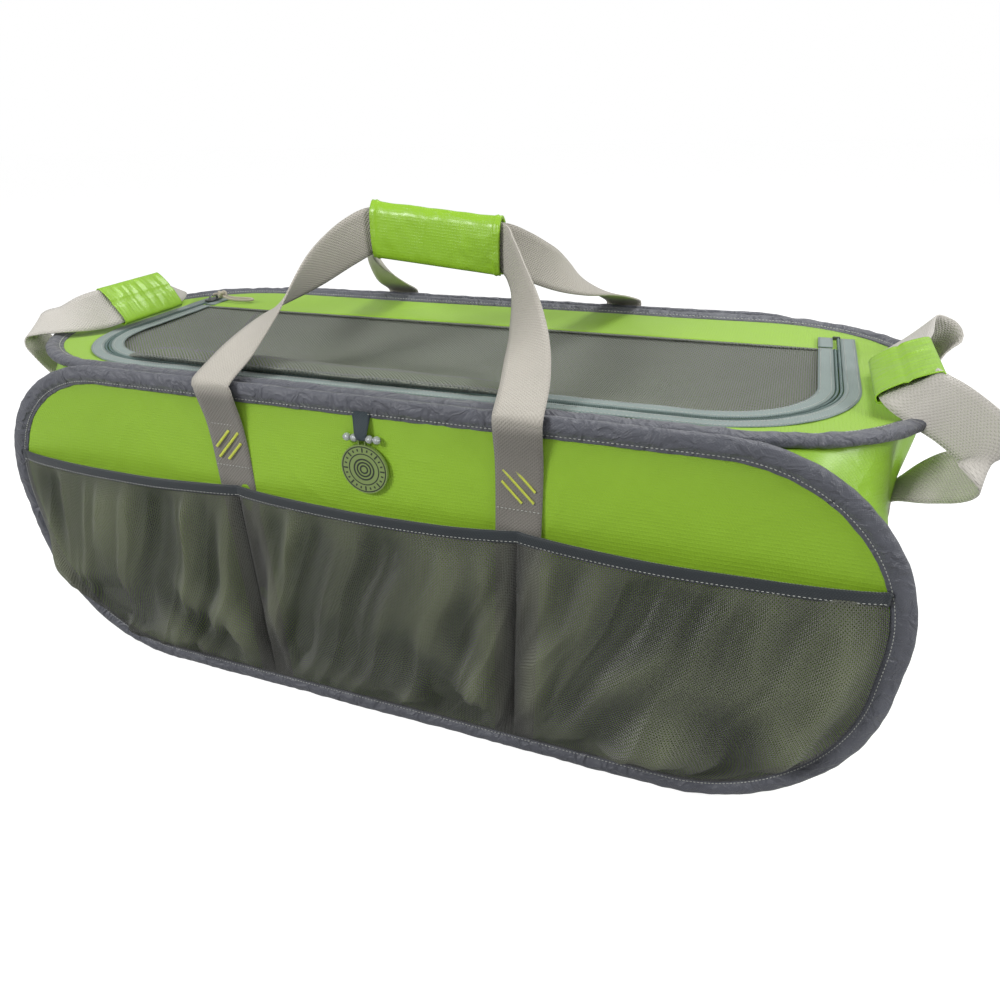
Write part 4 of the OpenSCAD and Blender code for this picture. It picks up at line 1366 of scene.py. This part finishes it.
# %% End handle sleeves
def sleeve(name, mirror, body, seed, replaces, lie):
    """A flat padded tube round the grip, with a seam down its middle and rolled ends."""
    middle, across, normal = sleeve_axes(lie)
    half_y = 48 * mm
    half_w = web_w / 2 + 2.5 * mm

    def place(s, t):
        along = 2 * t - 1
        angle = 2 * math.pi * s
        roll = 1 + 0.10 * ease(0.93, 1.0, abs(along))
        wide = half_w * math.cos(angle)
        fat = 5.2 * mm * math.copysign(abs(math.sin(angle)) ** 0.55, math.sin(angle)) * roll
        seam = 1.3 * mm * math.exp(-(wide / (1.8 * mm)) ** 2)
        crease = noise_at(along * 5.5, wide * 55, seed) + 0.5 * noise_at(along * 14, wide * 30, seed + 4)
        high = fat - math.copysign(seam, fat) + mm * 1.1 * crease * abs(math.sin(angle))
        point = middle + across * wide + normal * high + Vector((0, along * half_y, 0))
        return Vector((point.x * mirror, point.y, point.z))

    bm = close_up(cloth_grid(48, 80, (2 * math.pi * 0.017, 2 * half_y), place))
    made = as_object(bm, name, gloss_lime, body, replaces, 1.0 * mm)
    return made


sleeve("right_handle_sleeve_cloth", 1, "right_end_handle", 2.4, ("right_handle_sleeve",), right_lie)
sleeve("left_handle_sleeve_cloth", -1, "left_end_handle", 8.8, ("left_handle_sleeve",), left_lie)

# %% [markdown]
# ## Zip slider and pull
# The slider is a small pressed body with a bridge over it. A beige cord goes through the bridge and
# is knotted, and its loop lies on the lid. The plates are bevelled cubes, the bridge is a spun arc.

# %% Zip slider
slider_low, slider_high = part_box("zip_slider")
slider_mid = (slider_low + slider_high) / 2


def plate(bm, low, high):
    """A rounded plate between two corners."""
    size = Vector(high) - Vector(low)
    middle = (Vector(low) + Vector(high)) / 2
    made = bmesh.ops.create_cube(bm, size=1, matrix=Matrix.Translation(middle) @ Matrix.Diagonal((*size, 1)))
    edges = list({e for v in made["verts"] for e in v.link_edges})
    upright = [e for e in edges if abs(e.verts[0].co.z - e.verts[1].co.z) > size.z / 2]
    bmesh.ops.bevel(bm, geom=upright, offset=4 * mm, offset_type="OFFSET", segments=5, profile=0.5,
                    affect="EDGES", material=-1)


slider_bm = bmesh.new()
plate_t = 1.4 * mm
plate_z = top_z + 2.4 * mm
for low_z in (slider_low.z, plate_z):
    plate(slider_bm, (slider_low.x, slider_low.y, low_z), (slider_high.x, slider_high.y, low_z + plate_t))
bridge = bmesh.ops.create_circle(slider_bm, cap_ends=True, segments=10, radius=1.3 * mm,
                                 matrix=Matrix.Translation((slider_mid.x, slider_mid.y - 8 * mm, plate_z)))
bmesh.ops.spin(slider_bm, geom=bridge["verts"] + list({f for v in bridge["verts"] for f in v.link_faces}),
               cent=(slider_mid.x, slider_mid.y, plate_z), axis=(1, 0, 0), angle=-math.pi, steps=16)
squeeze_z = plate_z + 2 * mm
for slider_vert in slider_bm.verts:
    if slider_vert.co.z > squeeze_z:
        slider_vert.co.z = squeeze_z + (slider_vert.co.z - squeeze_z) * 0.62
slider = as_object(face_out(slider_bm), "zip_slider_body", zip_metal, "slider", ("zip_slider",))
slider_bevel = slider.modifiers.new("soft_edges", "BEVEL")
slider_bevel.width = 0.3 * mm
slider_bevel.segments = 2

# %% Zip pull
knot_mid = Vector((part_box("zip_pull_knot")[0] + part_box("zip_pull_knot")[1])) / 2
knot_points = []
for k in range(41):
    turn = 2 * math.pi * k / 40
    knot_points.append(knot_mid + 1.55 * mm * Vector((math.sin(turn) + 2 * math.sin(2 * turn),
                                                      math.cos(turn) - 2 * math.cos(2 * turn),
                                                      -1.5 * math.sin(3 * turn))))
knot_bm = tube(knot_points, 2.1 * mm, 12, 150)
as_object(knot_bm, "zip_pull_knot_cord", cord_beige, "zip_pull", ("zip_pull_knot",))
cord_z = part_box("zip_pull_cord")[0].z + 1.6 * mm
cord_y = slider_mid.y
loop_points = [(slider_mid.x, cord_y, plate_z + 4.5 * mm),
               (slider_mid.x + 3 * mm, cord_y + 1.5 * mm, plate_z + 6.6 * mm)]
for ahead, aside, height in (
        (-4, 0.5, knot_mid.z), (4, 2.5, knot_mid.z - 2 * mm), (16, 4.5, cord_z), (30, 5.5, cord_z),
        (42, 4, cord_z), (46, 0, cord_z), (42, -4, cord_z), (30, -5, cord_z), (16, -3.5, cord_z),
        (4, -2, knot_mid.z - 2 * mm), (-1, -1, knot_mid.z)):
    loop_points.append((knot_mid.x + ahead * mm, cord_y + aside * mm, height))
as_object(tube(loop_points, 1.5 * mm, 12, 120), "zip_pull_loop", cord_beige, "zip_pull",
          ("zip_pull_cord",))

# %% [markdown]
# ## Badge
# A short webbing tab hangs from the binding. Its fold holds a pin with four cut glass beads, and a
# round plastic tag hangs from the pin. The tag's print is a plain ring of ticks round a coiled rope.

# %% Badge tab and beads
pin_low, pin_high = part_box("badge_pin")
pin_mid = (pin_low + pin_high) / 2
badge_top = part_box("badge_loop")[1].z + 10 * mm
badge_x = pin_mid.x


def tab_place(s, t):
    side = 2 * s - 1
    z = badge_top + (pin_mid.z - 1 * mm - badge_top) * t
    wide = (9.5 - 4.5 * t) * mm
    cup = 0.8 * mm * (1 - side * side)
    y = front_y - 1.6 * mm + (pin_mid.y - front_y + 0.2 * mm) * ease(0.2, 0.9, t) - cup
    return Vector((badge_x + side * wide, y, z))


tab_bm = face_out(cloth_grid(8, 24, (0.018, 0.03), tab_place))
badge_tab = as_object(tab_bm, "badge_tab_webbing", badge_slate, None, ("badge_loop",),
                      1.2 * mm)
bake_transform(badge_tab)
bead_bm = bmesh.new()
bead_r = 3.6 * mm
bead_turn = Matrix.Rotation(math.pi / 2, 4, "Y")
for k in (-2, -1, 1, 2):
    bead_mid = Vector((badge_x + k * 2 * bead_r, pin_mid.y, pin_mid.z))
    bmesh.ops.create_uvsphere(bead_bm, u_segments=10, v_segments=8, radius=bead_r,
                              matrix=Matrix.Translation(bead_mid) @ bead_turn)
beads = as_object(bead_bm, "badge_glass_beads", bead_glass, "badge", ("badge_beads",))
bead_cut = beads.modifiers.new("cut_edges", "BEVEL")
bead_cut.width = 0.25 * mm
bead_cut.segments = 1


# %% Badge tag
tag_low, tag_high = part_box("badge_tag")
tag_r = (tag_high.x - tag_low.x) / 2
tag_mid = Vector((badge_x, (tag_low.y + tag_high.y) / 2, tag_low.z + tag_r))
face_turn = Matrix.Translation(tag_mid) @ Matrix.Rotation(math.pi / 2, 4, "X")


def disc(bm, radius, thick):
    """A round plate in the tag's plane."""
    made = bmesh.ops.create_circle(bm, cap_ends=True, segments=72, radius=radius,
                                   matrix=face_turn @ Matrix.Translation((0, 0, -thick / 2)))
    faces = list({f for v in made["verts"] for f in v.link_faces})
    grown = bmesh.ops.extrude_face_region(bm, geom=faces)
    push = face_turn.to_3x3() @ Vector((0, 0, thick))
    bmesh.ops.translate(bm, verts=[v for v in grown["geom"] if isinstance(v, bmesh.types.BMVert)], vec=push)


tag_bm = bmesh.new()
disc(tag_bm, tag_r, 3 * mm)
for side in (-1, 1):
    plate(tag_bm, (badge_x + side * 3.1 * mm - 0.4 * mm, tag_mid.y - 1.2 * mm, tag_mid.z + tag_r - 3 * mm),
          (badge_x + side * 3.1 * mm + 0.4 * mm, tag_mid.y + 1.2 * mm, pin_mid.z + 2.2 * mm))
tag = as_object(face_out(tag_bm), "badge_tag_disc", tag_green, "badge", ("badge_tag",))
tag_bevel = tag.modifiers.new("moulded_edge", "BEVEL")
tag_bevel.width = 0.5 * mm
tag_bevel.segments = 3
print_bm = bmesh.new()
for ring_out, ring_wide in ((21.4, 1.0), (14.8, 1.0), (10.2, 1.5), (7.2, 1.5), (4.2, 1.5)):
    ring_ends = [print_bm.verts.new(face_turn @ Vector((r * mm, 0, 1.62 * mm)))
                 for r in (ring_out - ring_wide, ring_out)]
    ring_edge = print_bm.edges.new(ring_ends)
    bmesh.ops.spin(print_bm, geom=[*ring_ends, ring_edge], cent=tag_mid, axis=(0, 1, 0),
                   angle=2 * math.pi, steps=64, use_merge=True)
for k in range(24):
    turn = 2 * math.pi * k / 24
    long = (4.2 if k % 3 == 0 else 2.2) * mm
    spot = face_turn @ Matrix.Rotation(turn, 4, "Z") @ Matrix.Translation((17.9 * mm, 0, 1.6 * mm))
    bmesh.ops.create_cube(print_bm, size=1, matrix=spot @ Matrix.Diagonal((long, 1.3 * mm, 0.12 * mm, 1)))
as_object(face_out(print_bm), "badge_tag_print", tag_ink, "badge")

# %% [markdown]
# ## Nodes that stay
# The wires, clips, edge seams, corner tacks, zip stops and the badge's pin are already right in the
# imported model. They keep their meshes and only get a finish.

# %% Finish the nodes that stay
kept = {"hoop_wire": spring_steel, "hoop_clips": spring_steel, "edge_seams": edging_slate,
        "corner_bar_tacks": light_thread, "zip_end_stops": zip_metal, "badge_pin": spring_steel}
for node_name, node_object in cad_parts.items():
    if node_object.hide_render:
        continue
    wanted = [m for key, m in kept.items() if key in node_name]
    if not wanted:
        print("no finish for", node_name)
        continue
    for material_slot in node_object.material_slots:
        material_slot.material = wanted[0]

# %% Floor
floor_bm = bmesh.new()
bmesh.ops.create_grid(floor_bm, x_segments=1, y_segments=1, size=12)
floor_mesh = bpy.data.meshes.new("floor")
floor_bm.to_mesh(floor_mesh)
floor_bm.free()
floor = bpy.data.objects.new("floor", floor_mesh)
scene.collection.objects.link(floor)
floor_mesh.materials.append(floor_paint)
